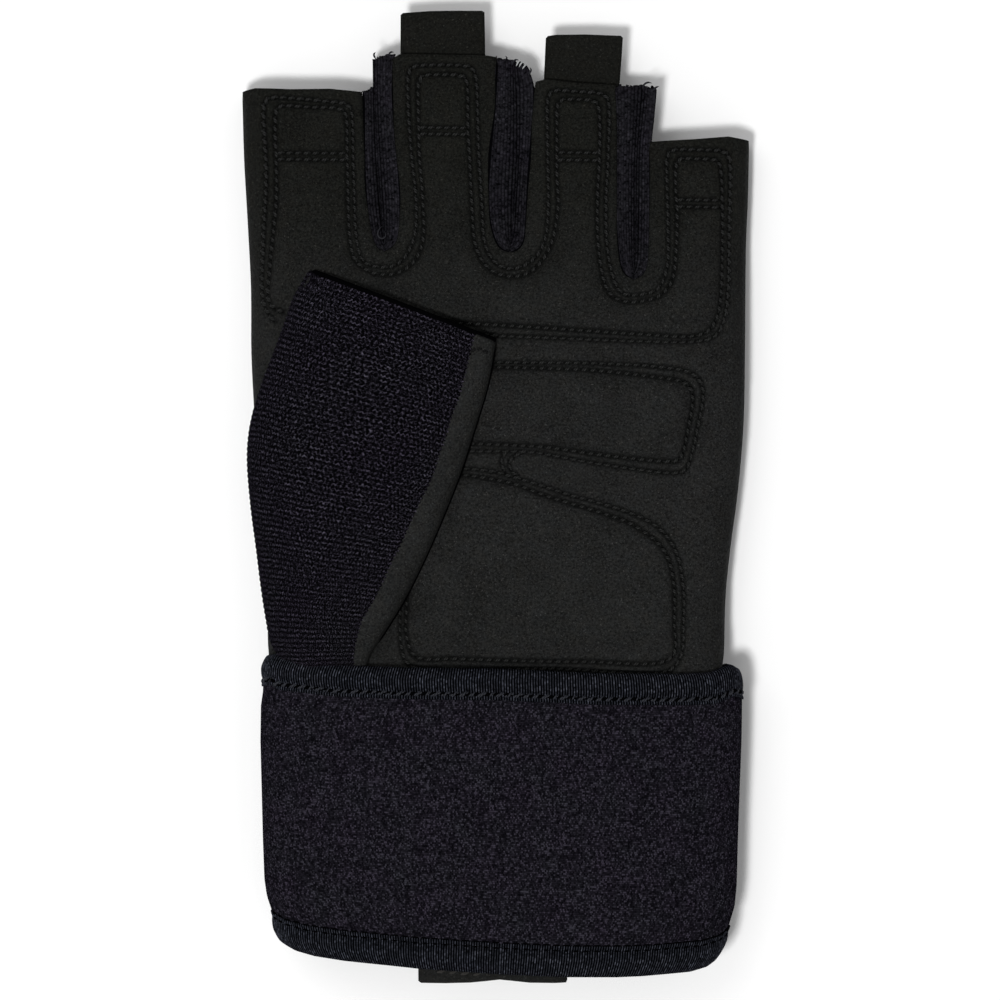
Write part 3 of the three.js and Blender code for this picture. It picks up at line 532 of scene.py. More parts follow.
def stitch_tree():
    """Node tree that lays one two-ply stitch on every point, along its tangent and square to its normal."""
    tree = bpy.data.node_groups.new("lockstitch", "GeometryNodeTree")
    face = tree.interface
    face.new_socket("Rows", in_out="INPUT", socket_type="NodeSocketGeometry")
    for name, start in (("Length", 1.9), ("Thread", 0.2), ("Twist", 0.9), ("Arch", 0.3), ("Seed", 4)):
        socket = face.new_socket(name, in_out="INPUT", socket_type="NodeSocketFloat")
        socket.default_value = start
    face.new_socket("Material", in_out="INPUT", socket_type="NodeSocketMaterial")
    face.new_socket("Stitches", in_out="OUTPUT", socket_type="NodeSocketGeometry")
    given = add_node(tree, "NodeGroupInput").outputs

    def step(kind, inputs=(), **settings):
        """The first output of a new node."""
        return add_node(tree, kind, inputs, **settings).outputs[0]

    def maths(operation, first, second):
        return step("ShaderNodeMath", {0: first, 1: second}, operation=operation)

    radius, length = given["Thread"], given["Length"]
    spiral = {"Resolution": 7, "Rotations": given["Twist"], "Start Radius": radius, "End Radius": radius}
    ply = step("GeometryNodeCurveSpiral", {**spiral, "Height": length})
    other = step("GeometryNodeTransform", {"Geometry": ply, "Rotation": (0, 0, math.pi)})
    both = add_node(tree, "GeometryNodeJoinGeometry", {"Geometry": ply})
    tree.links.new(other, both.inputs["Geometry"])
    thick = maths("MULTIPLY", radius, 1.15)
    ring = step("GeometryNodeCurvePrimitiveCircle", {"Resolution": 5, "Radius": thick})
    pair = both.outputs[0]
    yarn = step("GeometryNodeCurveToMesh", {"Curve": pair, "Profile Curve": ring, "Fill Caps": True})
    # The spiral climbs its Z axis: lay it along X, centred.
    lower = maths("MULTIPLY", length, -0.5)
    lay = step("GeometryNodeTransform", {"Geometry": yarn, "Rotation": (0, math.pi / 2, 0),
                                         "Translation": step("ShaderNodeCombineXYZ", {"X": lower})})
    # The ends dive: height falls with the square of the way from the middle.
    along = step("ShaderNodeSeparateXYZ", {"Vector": step("GeometryNodeInputPosition")})
    share = maths("DIVIDE", along, lower)
    fall = maths("MULTIPLY", maths("MULTIPLY", share, share), given["Arch"])
    lift = maths("SUBTRACT", maths("SUBTRACT", given["Arch"], fall), fall)
    offset = step("ShaderNodeCombineXYZ", {"Z": lift})
    arch = step("GeometryNodeSetPosition", {"Geometry": lay, "Offset": offset})
    small = step("GeometryNodeTransform", {"Geometry": arch, "Scale": (MM, MM, MM)})
    up, way = [step("GeometryNodeInputNamedAttribute", {"Name": name}, data_type="FLOAT_VECTOR")
               for name in ("up", "way")]
    stand = step("FunctionNodeAlignRotationToVector", {"Vector": up}, axis="Z")
    turned = {"Rotation": stand, "Vector": way}
    turn = step("FunctionNodeAlignRotationToVector", turned, axis="X", pivot_axis="Z")
    spread = {2: 0.9, 3: 1.1, "Seed": given["Seed"]}
    sizes = add_node(tree, "FunctionNodeRandomValue", spread, data_type="FLOAT")
    laid = step("GeometryNodeInstanceOnPoints", {"Points": given["Rows"], "Instance": small, "Rotation": turn,
                                                 "Scale": sizes.outputs[1]})
    real = step("GeometryNodeRealizeInstances", {"Geometry": laid})
    dressed = step("GeometryNodeSetMaterial", {"Geometry": real, "Material": given["Material"]})
    add_node(tree, "NodeGroupOutput", {"Stitches": dressed})
    return tree


lockstitch = stitch_tree()


def stitched(name, places, ways, ups, material, **settings):
    """A piece with one stitch at every place, in millimetres, made by the lockstitch nodes."""
    mesh = bpy.data.meshes.new(name + "_rows")
    mesh.from_pydata((np.asarray(places) * MM).tolist(), [], [])
    for key, vectors in (("way", ways), ("up", ups)):
        attribute = mesh.attributes.new(key, "FLOAT_VECTOR", "POINT")
        attribute.data.foreach_set("vector", np.asarray(vectors, float).ravel())
    rows = bpy.data.objects.new(name + "_rows", mesh)
    scene.collection.objects.link(rows)
    modifier = rows.modifiers.new("stitches", "NODES")
    modifier.node_group = lockstitch
    identifiers = {item.name: item.identifier for item in lockstitch.interface.items_tree}
    modifier[identifiers["Material"]] = material
    for key, setting in settings.items():
        modifier[identifiers[key.capitalize()]] = float(setting)
    evaluated = rows.evaluated_get(bpy.context.evaluated_depsgraph_get())
    made = bpy.data.meshes.new_from_object(evaluated)
    rows.modifiers.clear()
    bpy.data.objects.remove(rows)
    obj = bpy.data.objects.new(name, made)
    scene.collection.objects.link(obj)
    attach(obj, "root")


def row_stitches(rows, height, slant, pitch):
    """Places, directions and upright directions of the stitches along plan rows that lie on a height."""
    places, ways, ups = [], [], []
    for row in rows:
        spots = smooth_path(row, pitch)
        middle = (spots[1:] + spots[:-1]) / 2
        way = np.diff(spots, axis=0)
        way /= np.linalg.norm(way, axis=1)[:, None]
        way = way @ np.array([[math.cos(slant), math.sin(slant)], [-math.sin(slant), math.cos(slant)]])
        step = 0.5
        ahead = (height(middle + way * step) - height(middle - way * step)) / (2 * step)
        side = np.column_stack([-way[:, 1], way[:, 0]])
        tilt = (height(middle + side * step) - height(middle - side * step)) / (2 * step)
        up = np.column_stack([-(way * ahead[:, None] + side * tilt[:, None]), np.ones(len(way))])
        ups.append(up / np.linalg.norm(up, axis=1)[:, None])
        places.append(np.column_stack([middle, height(middle)]))
        ways.append(np.column_stack([way, ahead]))
    return np.vstack(places), np.vstack(ways), np.vstack(ups)


def thread(name, colour, roughness, specular=0.12):
    """Bonded polyester thread; the same plain material also makes the yarn ends, the elastic and the black
    painted shadow cords.
    """
    return new_material(name, roughness, specular, colour)[0]


black_thread = thread("black_thread", (0.0094, 0.0097, 0.0093), 0.45)


def level_height(points):
    """The skin's height without its channels, for thread that lies in them."""
    return palm_height(points) + CHANNEL_DEPTH * 0.55


for name, rows in (("finger_stitches", [OUTER_ROW, INNER_ROW, *FINGER_BARS]),
                   ("palm_stitches", [*MIDDLE_ROWS, *HEEL_ROWS, *WEDGE_ROWS])):
    laid = row_stitches(rows, level_height, STITCH_SLANT, STITCH_PITCH)
    stitched(name, *laid, black_thread, length=1.6, thread=0.2, arch=0.3, twist=0.8)

# Knitted cloth.
# Gussets, back, thumb, wrap and bindings are all knitted of black and grey-violet yarn; what differs is the
# size of the loops and how far the courses stand out, so they share one pattern of loops.


def knit_group():
    """Shader group: places counted in loops and courses give the yarn's colour and its height."""
    tree = bpy.data.node_groups.new("knitted_loops", "ShaderNodeTree")
    sockets = {"Vector": ("Place",), "Color": ("Dark", "Light", "Tint"),
               "Float": ("Groove", "Narrow", "Glint", "Bend", "Fibre", "Fineness", "Cells", "Sparse")}
    for kind, names in sockets.items():
        for name in names:
            tree.interface.new_socket(name, in_out="INPUT", socket_type=f"NodeSocket{kind}")
    tree.interface.new_socket("Color", in_out="OUTPUT", socket_type="NodeSocketColor")
    tree.interface.new_socket("Height", in_out="OUTPUT", socket_type="NodeSocketFloat")
    given = add_node(tree, "NodeGroupInput").outputs

    def maths(operation, first, second=0.5, third=0.5, clamp=False):
        inputs = {0: first, 1: second, 2: third}
        return add_node(tree, "ShaderNodeMath", inputs, operation=operation, use_clamp=clamp).outputs[0]

    def join(x, y):
        return add_node(tree, "ShaderNodeCombineXYZ", {"X": x, "Y": y}).outputs[0]

    spot = given["Place"]
    split = add_node(tree, "ShaderNodeSeparateXYZ", {0: spot}).outputs
    drift = maths("MULTIPLY", maths("MULTIPLY_ADD", noise(tree, spot, 0.12, 1), 5.0, -2.5), given["Bend"])
    course = maths("ADD", split["Y"], drift)
    level = maths("FLOOR", course)
    loop = maths("MULTIPLY_ADD", level, 0.5, split["X"])
    cell = join(maths("FLOOR", loop), level)
    dice = add_node(tree, "ShaderNodeTexWhiteNoise", {"Vector": cell}, noise_dimensions="2D")
    chance = dice.outputs["Value"]
    # The strand's bow within its course, and how far a place lies off the strand's middle. Groove darkens the
    # gaps between strands: partly the black yarn and partly painted shade.
    wave = maths("COSINE", maths("MULTIPLY", maths("FRACT", loop), math.tau))
    off = maths("SUBTRACT", maths("MULTIPLY_ADD", wave, given["Bend"], maths("FRACT", course)), 0.5)
    narrowed = maths("MULTIPLY", maths("MULTIPLY", off, off), given["Narrow"])
    strand = maths("SUBTRACT", 1.0, narrowed, clamp=True)
    grooved = maths("MULTIPLY_ADD", maths("SUBTRACT", strand, 1.0), given["Groove"], 1.0)
    # Pale fibres lie along the strands, and painted highlights brighten a few loops (Glint).
    bowed = maths("MULTIPLY", maths("MULTIPLY_ADD", wave, given["Bend"], course), 3.0)
    bent = join(maths("MULTIPLY", split["X"], given["Fineness"]), bowed)
    blur = maths("MULTIPLY", noise(tree, bent, 1.0, 2, 0.7), maths("SUBTRACT", 1.0, given["Cells"]))
    speckle = maths("MULTIPLY_ADD", chance, given["Cells"], blur)
    over = maths("SUBTRACT", maths("SUBTRACT", speckle, 0.5), given["Sparse"])
    fibre = maths("MULTIPLY_ADD", over, given["Fibre"], 0.5, clamp=True)
    shine = maths("MULTIPLY_ADD", maths("POWER", chance, 7.0), given["Glint"], 0.55)
    amount = maths("MULTIPLY", maths("MULTIPLY", grooved, fibre), shine, clamp=True)
    patches = maths("SUBTRACT", noise(tree, spot, 0.05, 3), 0.5)
    tinted = mix(tree, given["Light"], given["Tint"], maths("MULTIPLY_ADD", patches, 2.0, 0.5, clamp=True))
    height = maths("MULTIPLY", strand, maths("MULTIPLY_ADD", fibre, 0.6, 0.4))
    add_node(tree, "NodeGroupOutput", {"Color": mix(tree, given["Dark"], tinted, amount), "Height": height})
    return tree


knitted_loops = knit_group()


def knit(name, dark, light, tint, relief, **settings):
    """A knitted cloth's material; its UV map "loops" counts loops along X and courses along Y."""
    material, tree, shader = new_material(name, 1.0, 0.0)
    inputs = {key: (*colour, 1) for key, colour in (("Dark", dark), ("Light", light), ("Tint", tint))}
    inputs["Place"] = add_node(tree, "ShaderNodeUVMap", uv_map="loops").outputs["UV"]
    inputs.update({key.capitalize(): setting for key, setting in settings.items()})
    loops = add_node(tree, "ShaderNodeGroup", inputs, node_tree=knitted_loops).outputs
    dress(tree, shader, loops["Color"], loops["Height"], 0.8, relief * MM)
    return material


def add_loops(obj, counts):
    """Stores a place in loops and courses for every vertex as the UV map "loops"."""
    mesh = obj.data
    layer = mesh.uv_layers.new(name="loops")
    corners = np.zeros(len(mesh.loops), int)
    mesh.loops.foreach_get("vertex_index", corners)
    layer.data.foreach_set("uv", np.asarray(counts, float)[corners].ravel())


def grid_mesh(name, grid, counts, material, closed=False, flip=False):
    """A mesh over rows of points; counts gives each point's place in loops and courses, or is None."""
    rows, columns = grid.shape[:2]
    index = np.arange(rows * columns).reshape(rows, columns)
    if closed:
        index = np.hstack([index, index[:, :1]])
    corners = [index[:-1, :-1], index[:-1, 1:], index[1:, 1:], index[1:, :-1]]
    faces = np.stack(corners, axis=-1).reshape(-1, 4)
    if flip:
        faces = faces[:, ::-1]
    obj = make_mesh(name, grid.reshape(-1, 3), faces, material)
    add_loops(obj, np.zeros((rows * columns, 2)) if counts is None else counts.reshape(-1, 2))
    return obj


# Ribbed gussets between the fingers.
# Strips of 1 x 1 rib knit sewn under the leather's edges; they fold down into a slit, and their cut tops
# stand free and fray a little at the fingertips.
# For each wall of a gusset: its name, its outer edge and its edge in the slit, both from the cut top to the
# tip, the side that its outer edge is on, and how many millimetres of that edge stand free of the leather.
GUSSET_WALLS = [
    ("gusset_index_middle_left",
     on_photo((364, 91), (364.5, 150), (366, 190), (369, 220), (373, 238), (376.8, 247), (384, 252)),
     on_photo((374, 86), (375, 120), (378, 170), (381, 210), (383, 235), (384, 243), (384, 249)), -1, 0.0),
    ("gusset_index_middle_right",
     on_photo(
         (393, 53.5), (391.7, 88), (394, 132), (398, 175), (399.5, 215), (397, 239), (392.3, 247),
         (385, 252)),
     on_photo(
         (374.5, 58), (375.5, 110), (378, 170), (381, 210), (383, 235), (384, 243), (384, 249)), 1, 0.0),
    ("gusset_middle_ring_left",
     on_photo(
         (498, 58), (495, 111), (491, 156), (489, 195), (491.5, 225), (496, 240), (501, 248), (509, 252.5)),
     on_photo(
         (514, 60), (516, 100), (517, 150), (514.5, 197), (513, 225), (511, 240), (510, 249)), -1, 0.0),
    ("gusset_middle_ring_right",
     on_photo(
         (524, 66), (528, 72), (533, 90), (531, 133), (527.6, 179), (525.5, 222), (523, 241), (518, 248.5),
         (511, 252.5)),
     on_photo(
         (514.5, 60), (516.5, 100), (517.5, 150), (515, 197), (513, 225), (511, 240), (510, 249)), 1, 4.0),
    ("gusset_ring_pinky_left",
     on_photo(
         (615.5, 86), (617, 120), (617, 180), (617, 224), (619, 250), (621.5, 266), (626, 275), (633, 280)),
     on_photo(
         (643, 84), (640, 120), (637, 160), (636.5, 200), (636, 240), (635, 262), (634, 276)), -1, 0.0),
    ("gusset_ring_pinky_right",
     on_photo(
         (655.5, 87.5), (652.5, 120), (650, 145), (650, 200), (649, 247), (647, 266), (642.5, 275.5),
         (635, 280)),
     on_photo(
         (644, 85), (641, 120), (638, 160), (637.5, 200), (637, 240), (636, 262), (634.5, 276)), 1, 11.5),
]
RIB = 0.57  # width of one rib
RIB_LOOP = 0.45  # length of one loop along a rib
GUSSET_SUNK = 0.7  # how far the knit lies below the leather's face
SLIT_FLOOR = 4.0  # height to which the folded knit runs on down in the slit
TUCK = 1.3  # how far the knit reaches in under the leather
gusset_knit = knit("ribbed_knit", (0.001, 0.001, 0.0013), (0.034, 0.034, 0.039), (0.031, 0.028, 0.038), 0.12,
                   groove=1.0, narrow=30, glint=0.5, fibre=2.4, fineness=0.7, sparse=0.02)


def along_path(path, count):
    """A fixed number of evenly spaced points along a smooth path."""
    fine = smooth_path(path, 0.25)
    ways = way_along(fine)
    return at_ways(fine, ways, np.linspace(0, ways[-1], count))


def gusset_wall(name, edge, slit, side, free, seed):
    """One wall of a gusset, from under the leather's edge down into the slit."""
    rows = 90
    outer, inner = along_path(edge, rows), along_path(slit, rows)
    random = np.random.default_rng(seed)
    width = np.maximum(np.linalg.norm(inner - outer, axis=1), 0.6)
    ribs = max(4, round(float(width[:60].mean() / RIB)))
    seen = np.linspace(0, 1, 7 * ribs + 1)
    way = way_along(outer)
    tuck = np.clip((way - free) / 2.0, 0.05, 1) * TUCK / width
    across = np.hstack([-tuck[:, None], -tuck[:, None] / 2, np.tile(seen, (rows, 1)), np.ones((rows, 2))])
    plan = outer[:, None, :] + (inner - outer)[:, None, :] * across[..., None]
    edge_level = form_top(outer) - GUSSET_SUNK
    fold = np.interp(np.linspace(0, 1, rows), (0, 0.5, 0.75, 1), (2.6, 3.2, 4.4, 3.0))
    drop = np.clip(across, 0, 1)
    z = edge_level[:, None] - fold[:, None] * (0.45 * drop + 0.55 * drop**4)
    fade = np.clip(width / 1.6, 0, 1)[:, None] * (across >= 0)
    z += 0.17 * fade * np.cos(math.tau * ribs * across)
    low = np.interp(np.linspace(0, 1, rows), (0, 0.8, 1), (SLIT_FLOOR, SLIT_FLOOR, 9.0))
    z[:, -2] = (z[:, -3] + low) / 2
    z[:, -1] = low
    frayed = np.convolve(random.uniform(-0.5, 0.7, across.shape[1]), (0.25, 0.5, 0.25), "same")
    reach = np.clip(1 - np.arange(rows) / 5, 0, 1)
    plan[..., 1] += reach[:, None] * frayed[None, :]
    loops = np.tile((way / RIB_LOOP)[:, None], (1, across.shape[1]))
    counts = np.stack([loops, across * ribs + 0.5 + seed * 7.0], axis=-1)
    wall = grid_mesh(name, np.dstack([plan, z]), counts, gusset_knit, flip=side > 0)
    return thicken(wall, 0.6)


for seed, wall_lines in enumerate(GUSSET_WALLS):
    wall = gusset_wall(*wall_lines, seed + 1)
    show(wall, "knit", wall_lines[0].rsplit("_", 1)[0])


def cord(name, path, radius, material):
    """A thin round cord along a path, drawn in to a point at both ends."""
    ways = np.gradient(path, axis=0)
    ways /= np.linalg.norm(ways, axis=1)[:, None]
    sides = np.cross(ways, (0, 0, 1))
    sides /= np.linalg.norm(sides, axis=1)[:, None] + 1e-9
    ups = np.cross(sides, ways)
    ends = np.minimum(np.arange(len(path)), np.arange(len(path))[::-1])
    widths = radius * np.clip(ends / 4, 0.05, 1)[:, None, None]
    angles = np.linspace(0, math.tau, 8, endpoint=False)[None, :, None]
    grid = path[:, None, :] + widths * (np.cos(angles) * sides[:, None, :] + np.sin(angles) * ups[:, None, :])
    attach(grid_mesh(name, grid, None, material, closed=True), "root")


frayed_yarn = thread("frayed_yarn", (0.012, 0.012, 0.015), 0.6)
cut_elastic = thread("cut_elastic", (0.32, 0.33, 0.33), 0.6)
# Loose yarn ends at the gussets' cut tops, and the cut elastic that shows pale between them.
YARN_ENDS = [
    [(508, 64), (506, 60), (507, 57.5), (505, 56)],
    [(512, 66), (513, 62), (516, 60), (519, 60.5)],
    [(498, 62), (496, 58), (497, 55.5)],
    [(528, 76), (531, 71), (530, 68)],
    [(642, 90), (644, 85), (648, 83), (652, 84)],
    [(652, 92), (656, 88), (659, 87)],
    [(620, 90), (617, 86), (618, 83.5)],
    [(376, 60), (374, 55), (376, 52.5)],
    [(388, 56), (391, 53), (394, 53)],
    [(383, 226), (379, 230), (378, 236), (382, 239), (386, 236), (384, 231)],
]
ELASTIC_ENDS = [
    [(516, 67), (518, 63), (520, 61)],
    [(519, 68), (521, 64), (524, 62)],
    [(522, 70), (525, 66), (527, 64)],
]
for number, line in enumerate(YARN_ENDS + ELASTIC_ENDS):
    plan = along_path(on_photo(*line, height=END_HEIGHT), 14)
    lift = form_top(plan[:1] + (3.0, 0))[0] - 0.3
    path = np.column_stack([plan, np.full(len(plan), lift)])
    radius, material = (0.2, frayed_yarn) if number < len(YARN_ENDS) else (0.16, cut_elastic)
    cord(f"yarn_end_{number + 1}", path, radius, material)

# Knit back.
# A plain knit panel makes the hand's hidden side and the fingers' backs; it meets the leather at the sides.
KNIT_WALL = 1.3
back_knit = knit("back_knit", (0.0006, 0.0006, 0.0008), (0.022, 0.021, 0.027), (0.022, 0.018, 0.027), 0.15,
                 groove=0.8, narrow=10, glint=1.2, bend=0.15, fibre=3.0, fineness=1.3, cells=0.3)


def back_height(points):
    """Height of the hand's lower surface."""
    return form_row(points[:, 1], 2) * (1 - form_swell(points))


def lower_piece(name, outline, net, height, spacing, loop_size, thickness, node):
    """A knitted sheet that faces down, shown in place of its solid."""
    sheet = plan_mesh(name, outline, net, height, back_knit, spacing)
    sheet.data.flip_normals()
    add_loops(sheet, plan_of(sheet) / loop_size)
    show(thicken(sheet, thickness), "knit", node)


back_net = lattice(cuff_low, fine_high, 1.7)
lower_piece("knit_back", skin_outline, back_net, back_height, 1.2, (0.5, 1.05), KNIT_WALL, "back_panel")

# Pull tabs.
# Two flat tongues of doubled suede, sewn in under the ends of the middle and ring fingers, that the wearer
# grips to draw the glove off.
tab_suede = suede("tab_suede", (0.006, 0.0061, 0.0059), (0.0162, 0.0164, 0.016), 0.6)
TAB_LEVEL = 12.9
PULL_TABS = {
    "pull_tab_middle": on_photo(
        (400.5, 98), (400.3, 60), (400.5, 14.6), (403, 12.6), (430, 10.6), (458, 10.3), (482, 10.4),
        (484.5, 12), (485, 40), (485.5, 98), height=TAB_LEVEL),
    "pull_tab_ring": on_photo(
        (543, 124), (544, 76.5), (545.8, 38), (548, 35.6), (556, 34.4), (585, 34), (621, 35.4), (623, 37.5),
        (621.5, 60), (619.5, 86), (618, 124), height=TAB_LEVEL),
}
TAB_THICKNESS = 2.0


def flat_suede(name, outline, height, thickness, node):
    """A flat piece of suede with a fine net of points, shown in place of its solid."""
    net = lattice(outline.min(axis=0), outline.max(axis=0), 0.6)
    show(thicken(plan_mesh(name, outline, net, height, tab_suede, 0.6), thickness), "suede", node)


def tab_height(points, outline):
    """A tab's face, which rolls over at its edge and dips a little towards its end."""
    low, high = outline[:, 1].min(), outline[:, 1].max()
    share = (points[:, 1] - low) / (high - low)
    rolled = 0.45 * rolled_rim(points, outline, 0.9)
    return TAB_LEVEL - 0.5 * share**2 - rolled + 0.06 * unevenness(points * 2)


for name, tab in PULL_TABS.items():
    flat_suede(f"{name}_suede", tab, partial(tab_height, outline=tab), TAB_THICKNESS, name)

# Folded thumb.
# The half thumb lies folded over the palm: its coarse knit back is on top, a rolled suede strip edges it on
# the right, and its suede underside rests on the pads. Its mouth is hemmed; its root opens into the hand.
THUMB_LEFT = on_photo(
    (309.5, 272), (294.5, 298), (286, 322), (275, 352), (262.5, 384), (253.5, 412), (248.5, 436),
    (247, 460), (250.5, 505), (256.5, 550), (261.5, 589), (266.5, 619), (271, 640), (280, 656), (290, 668),
    height=12)
THUMB_RIGHT = on_photo(
    (496, 341.5), (488, 385), (474.5, 430), (461, 472), (444.5, 514), (425, 559), (404, 601), (380, 640),
    (371, 655), (366, 668), height=22)
# Share of the way down the thumb, its height, how far it lies over the leather, and the strip's width.
THUMB_SECTIONS = np.array([
    (0, 4.2, 2.0, 4.9), (0.08, 5.0, 2.1, 5.2), (0.25, 6.8, 2.2, 5.4), (0.5, 7.6, 2.2, 5.8),
    (0.7, 7.2, 2.3, 6.4), (0.85, 6.0, 2.2, 6.4), (0.94, 4.4, 1.6, 4.2), (1, 2.4, 0.6, 2.6)])
AT_HEIGHT, AT_OVER, AT_STRIP = 1, 2, 3  # columns of THUMB_SECTIONS
LEFT_SETTLE = 0.25  # share of the width over which the thumb climbs from the side seam onto the pads
EDGE_SHIFT = 2.5  # how far in from the side the height is taken that the thumb's left edge rolls out at
THUMB_COURSE = 1.06
THUMB_LOOP = 0.8
THUMB_LENGTH = 81.0
THUMB_ROUND = 46  # millimetres over the thumb's back, from its left edge to the strip
thumb_knit_cloth = knit("thumb_knit", (0.0008, 0.0007, 0.001), (0.096, 0.092, 0.117), (0.09, 0.075, 0.115),
                        0.2, groove=0.85, narrow=8, glint=0.4, bend=0.13, fibre=7.0, fineness=1.5,
                        sparse=0.06)


def thumb_section(along, column):
    """A column of THUMB_SECTIONS at shares of the thumb's length."""
    return np.interp(along, THUMB_SECTIONS[:, 0], THUMB_SECTIONS[:, column])


def thumb_edges(along):
    """Plan points of the thumb's left and right edges at shares of its length."""
    steps = np.linspace(0, 1, 400)
    return [at_ways(along_path(line, 400), steps, along) for line in (THUMB_LEFT, THUMB_RIGHT)]


def thumb_points(along, turns, depth):
    """Points of the thumb's wall: along is 0 at the mouth, turns go over the top from the left, 0 to 2 pi."""
    turns = np.broadcast_to(turns, (len(along), np.shape(turns)[-1]))
    left, right = thumb_edges(along)
    width = np.linalg.norm(right - left, axis=1)[:, None]
    across = depth / width + (1 - 2 * depth / width) * (1 - np.cos(turns)) / 2
    plan = left[:, None, :] + (right - left)[:, None, :] * across[..., None]
    lift = np.interp(along, (0.1, 0.4), (1, 0))[:, None]
    inward = EDGE_SHIFT * np.clip(1 - across / 0.2, 0, 1) * (1 - lift)
    ground = form_top((plan + inward[..., None] * (1, 0)).reshape(-1, 2)).reshape(across.shape)
    settled = lift + (1 - lift) * ease(across / LEFT_SETTLE)
    base = ground + thumb_section(along, AT_OVER)[:, None] * settled
    rise = np.abs(np.sin(turns)) ** np.where(turns < math.pi / 2, 1.5, 0.8)
    height = thumb_section(along, AT_HEIGHT)[:, None]
    z = base + depth + np.where(np.sin(turns) > 0, (height - 2 * depth) * rise, 0)
    return np.dstack([plan, z])


def strip_turn(along, inset=0.0):
    """The turn at which the suede strip begins."""
    left, right = thumb_edges(along)
    width = np.linalg.norm(right - left, axis=1)
    return math.pi - np.arccos(1 - 2 * (thumb_section(along, AT_STRIP) + inset) / width)


courses = int(THUMB_LENGTH / THUMB_COURSE)
along = np.linspace(0, 1, courses * 5 + 1)
share = np.linspace(0, 1, 110)
turns = strip_turn(along, -0.5)[:, None] * share
phase = along * courses
knit_relief = 0.13 * (1 - 2 * np.abs(np.sin(math.pi * phase)) ** 1.5)
outside = thumb_points(along, turns, 0.0)
outside[..., 2] -= knit_relief[:, None]
scallop = 0.16 * np.abs(np.sin(math.pi * phase)) ** 0.8
outside[..., 0] += (0.1 - scallop)[:, None] * np.exp(-turns * 4)
hem = thumb_points(np.array([0.045, 0.02, 0.004]), turns[:3], KNIT_WALL)
hem[2] = (hem[2] + outside[0]) / 2 + (0, 0.35, 0)
grid = np.concatenate([hem, outside])
# The knit's left edge runs down to the leather.
skirt = grid[:, :1].copy()
skirt[..., 2] = np.minimum(form_top(skirt[:, 0, :2])[:, None], skirt[..., 2])
grid = np.concatenate([skirt, grid], axis=1)
loops = np.concatenate([[-5], share * THUMB_ROUND / THUMB_LOOP])
rows = np.concatenate([[-3.0, -2.0, -1.0], phase])
counts = np.stack(np.meshgrid(loops, rows), axis=-1)
show(grid_mesh("thumb_back", grid, counts, thumb_knit_cloth), "knit", "thumb_knit")

strip_along = np.linspace(0, 1, 130)
strip_share = np.linspace(0, 1, 22)
start = strip_turn(strip_along)[:, None]
strip_turns = start + (math.pi - start) * strip_share
strip_grid = thumb_points(strip_along, strip_turns, 0.0)
strip_grid[..., 2] += 0.75 * np.sin(math.pi * np.clip(strip_share * 1.15, 0, 1)) ** 0.6 - 0.1
strip_grid[..., 2] += 0.1 * unevenness(strip_grid[..., :2].reshape(-1, 2) * 2).reshape(strip_grid.shape[:2])
strip_tops = strip_grid.reshape(-1, 3)
HEM_ALONG = np.array([0.04, 0.008])
strip_grid = np.concatenate([thumb_points(HEM_ALONG, strip_turns[:2], KNIT_WALL), strip_grid])
strip_suede = suede("strip_suede", (0.0055, 0.0057, 0.0056), (0.0205, 0.0211, 0.0207), 0.8)
show(grid_mesh("thumb_side_strip", strip_grid, None, strip_suede), "suede", "thumb_strip")

# A short arc of stitches ends the strip's seam at the thumb's mouth.
STRIP_ARC = on_photo((471, 352), (476, 348.5), (482, 349.5), (488, 354), height=22)


def strip_height(points):
    """Height of the strip's rolled face over plan points."""
    gaps = np.linalg.norm(points[:, None] - strip_tops[None, :, :2], axis=2)
    shares = np.exp(-(gaps / 0.5) ** 2) + 1e-12
    return (shares * strip_tops[:, 2]).sum(axis=1) / shares.sum(axis=1)


laid = row_stitches([STRIP_ARC], strip_height, 0.3, 1.3)
strip_thread = thread("strip_thread", (0.0025, 0.0026, 0.0025), 0.6)
stitched("strip_stitches", *laid, strip_thread, length=1.2, thread=0.18, arch=0.2, twist=0.8)

# Painted shadows: black cords along the thumb's mouth and under the strip's right edge stand for the narrow
# shadows there.
painted_edge_shadow = thread("painted_edge_shadow", (0.0008, 0.0008, 0.001), 1.0, 0.0)
mouth_turns = np.linspace(0.25, math.pi - 0.05, 120)[None, :]
mouth_shadow_path = thumb_points(np.array([0.0]), mouth_turns, 0.15)[0] + (0, 0.2, -0.1)
cord("thumb_mouth_shadow", mouth_shadow_path, 0.5, painted_edge_shadow)
strip_shadow_path = thumb_points(np.linspace(0, 0.93, 120), np.array([[math.pi]]), 0.2)[:, 0] + (0.1, 0, -0.1)
cord("thumb_strip_shadow", strip_shadow_path, 0.35, painted_edge_shadow)

lining_along = np.linspace(0, 1, 60)
lining_turns = np.linspace(math.pi, 2 * math.pi - 0.02, 30)
# The underside is drawn in over the hole through which the thumb's root opens into the hand.
drawn_in = np.interp(lining_along, (0, 0.42, 0.5, 1), (0, 0, 1, 1))[:, None]
lining_grid = thumb_points(lining_along, math.pi + (lining_turns - math.pi) * (1 - 0.62 * drawn_in), 0.0)
lining_grid = np.concatenate([thumb_points(HEM_ALONG, lining_turns[None, :], 0.9), lining_grid])
show(grid_mesh("thumb_underside", lining_grid, None, strip_suede), "suede", "thumb_lining")
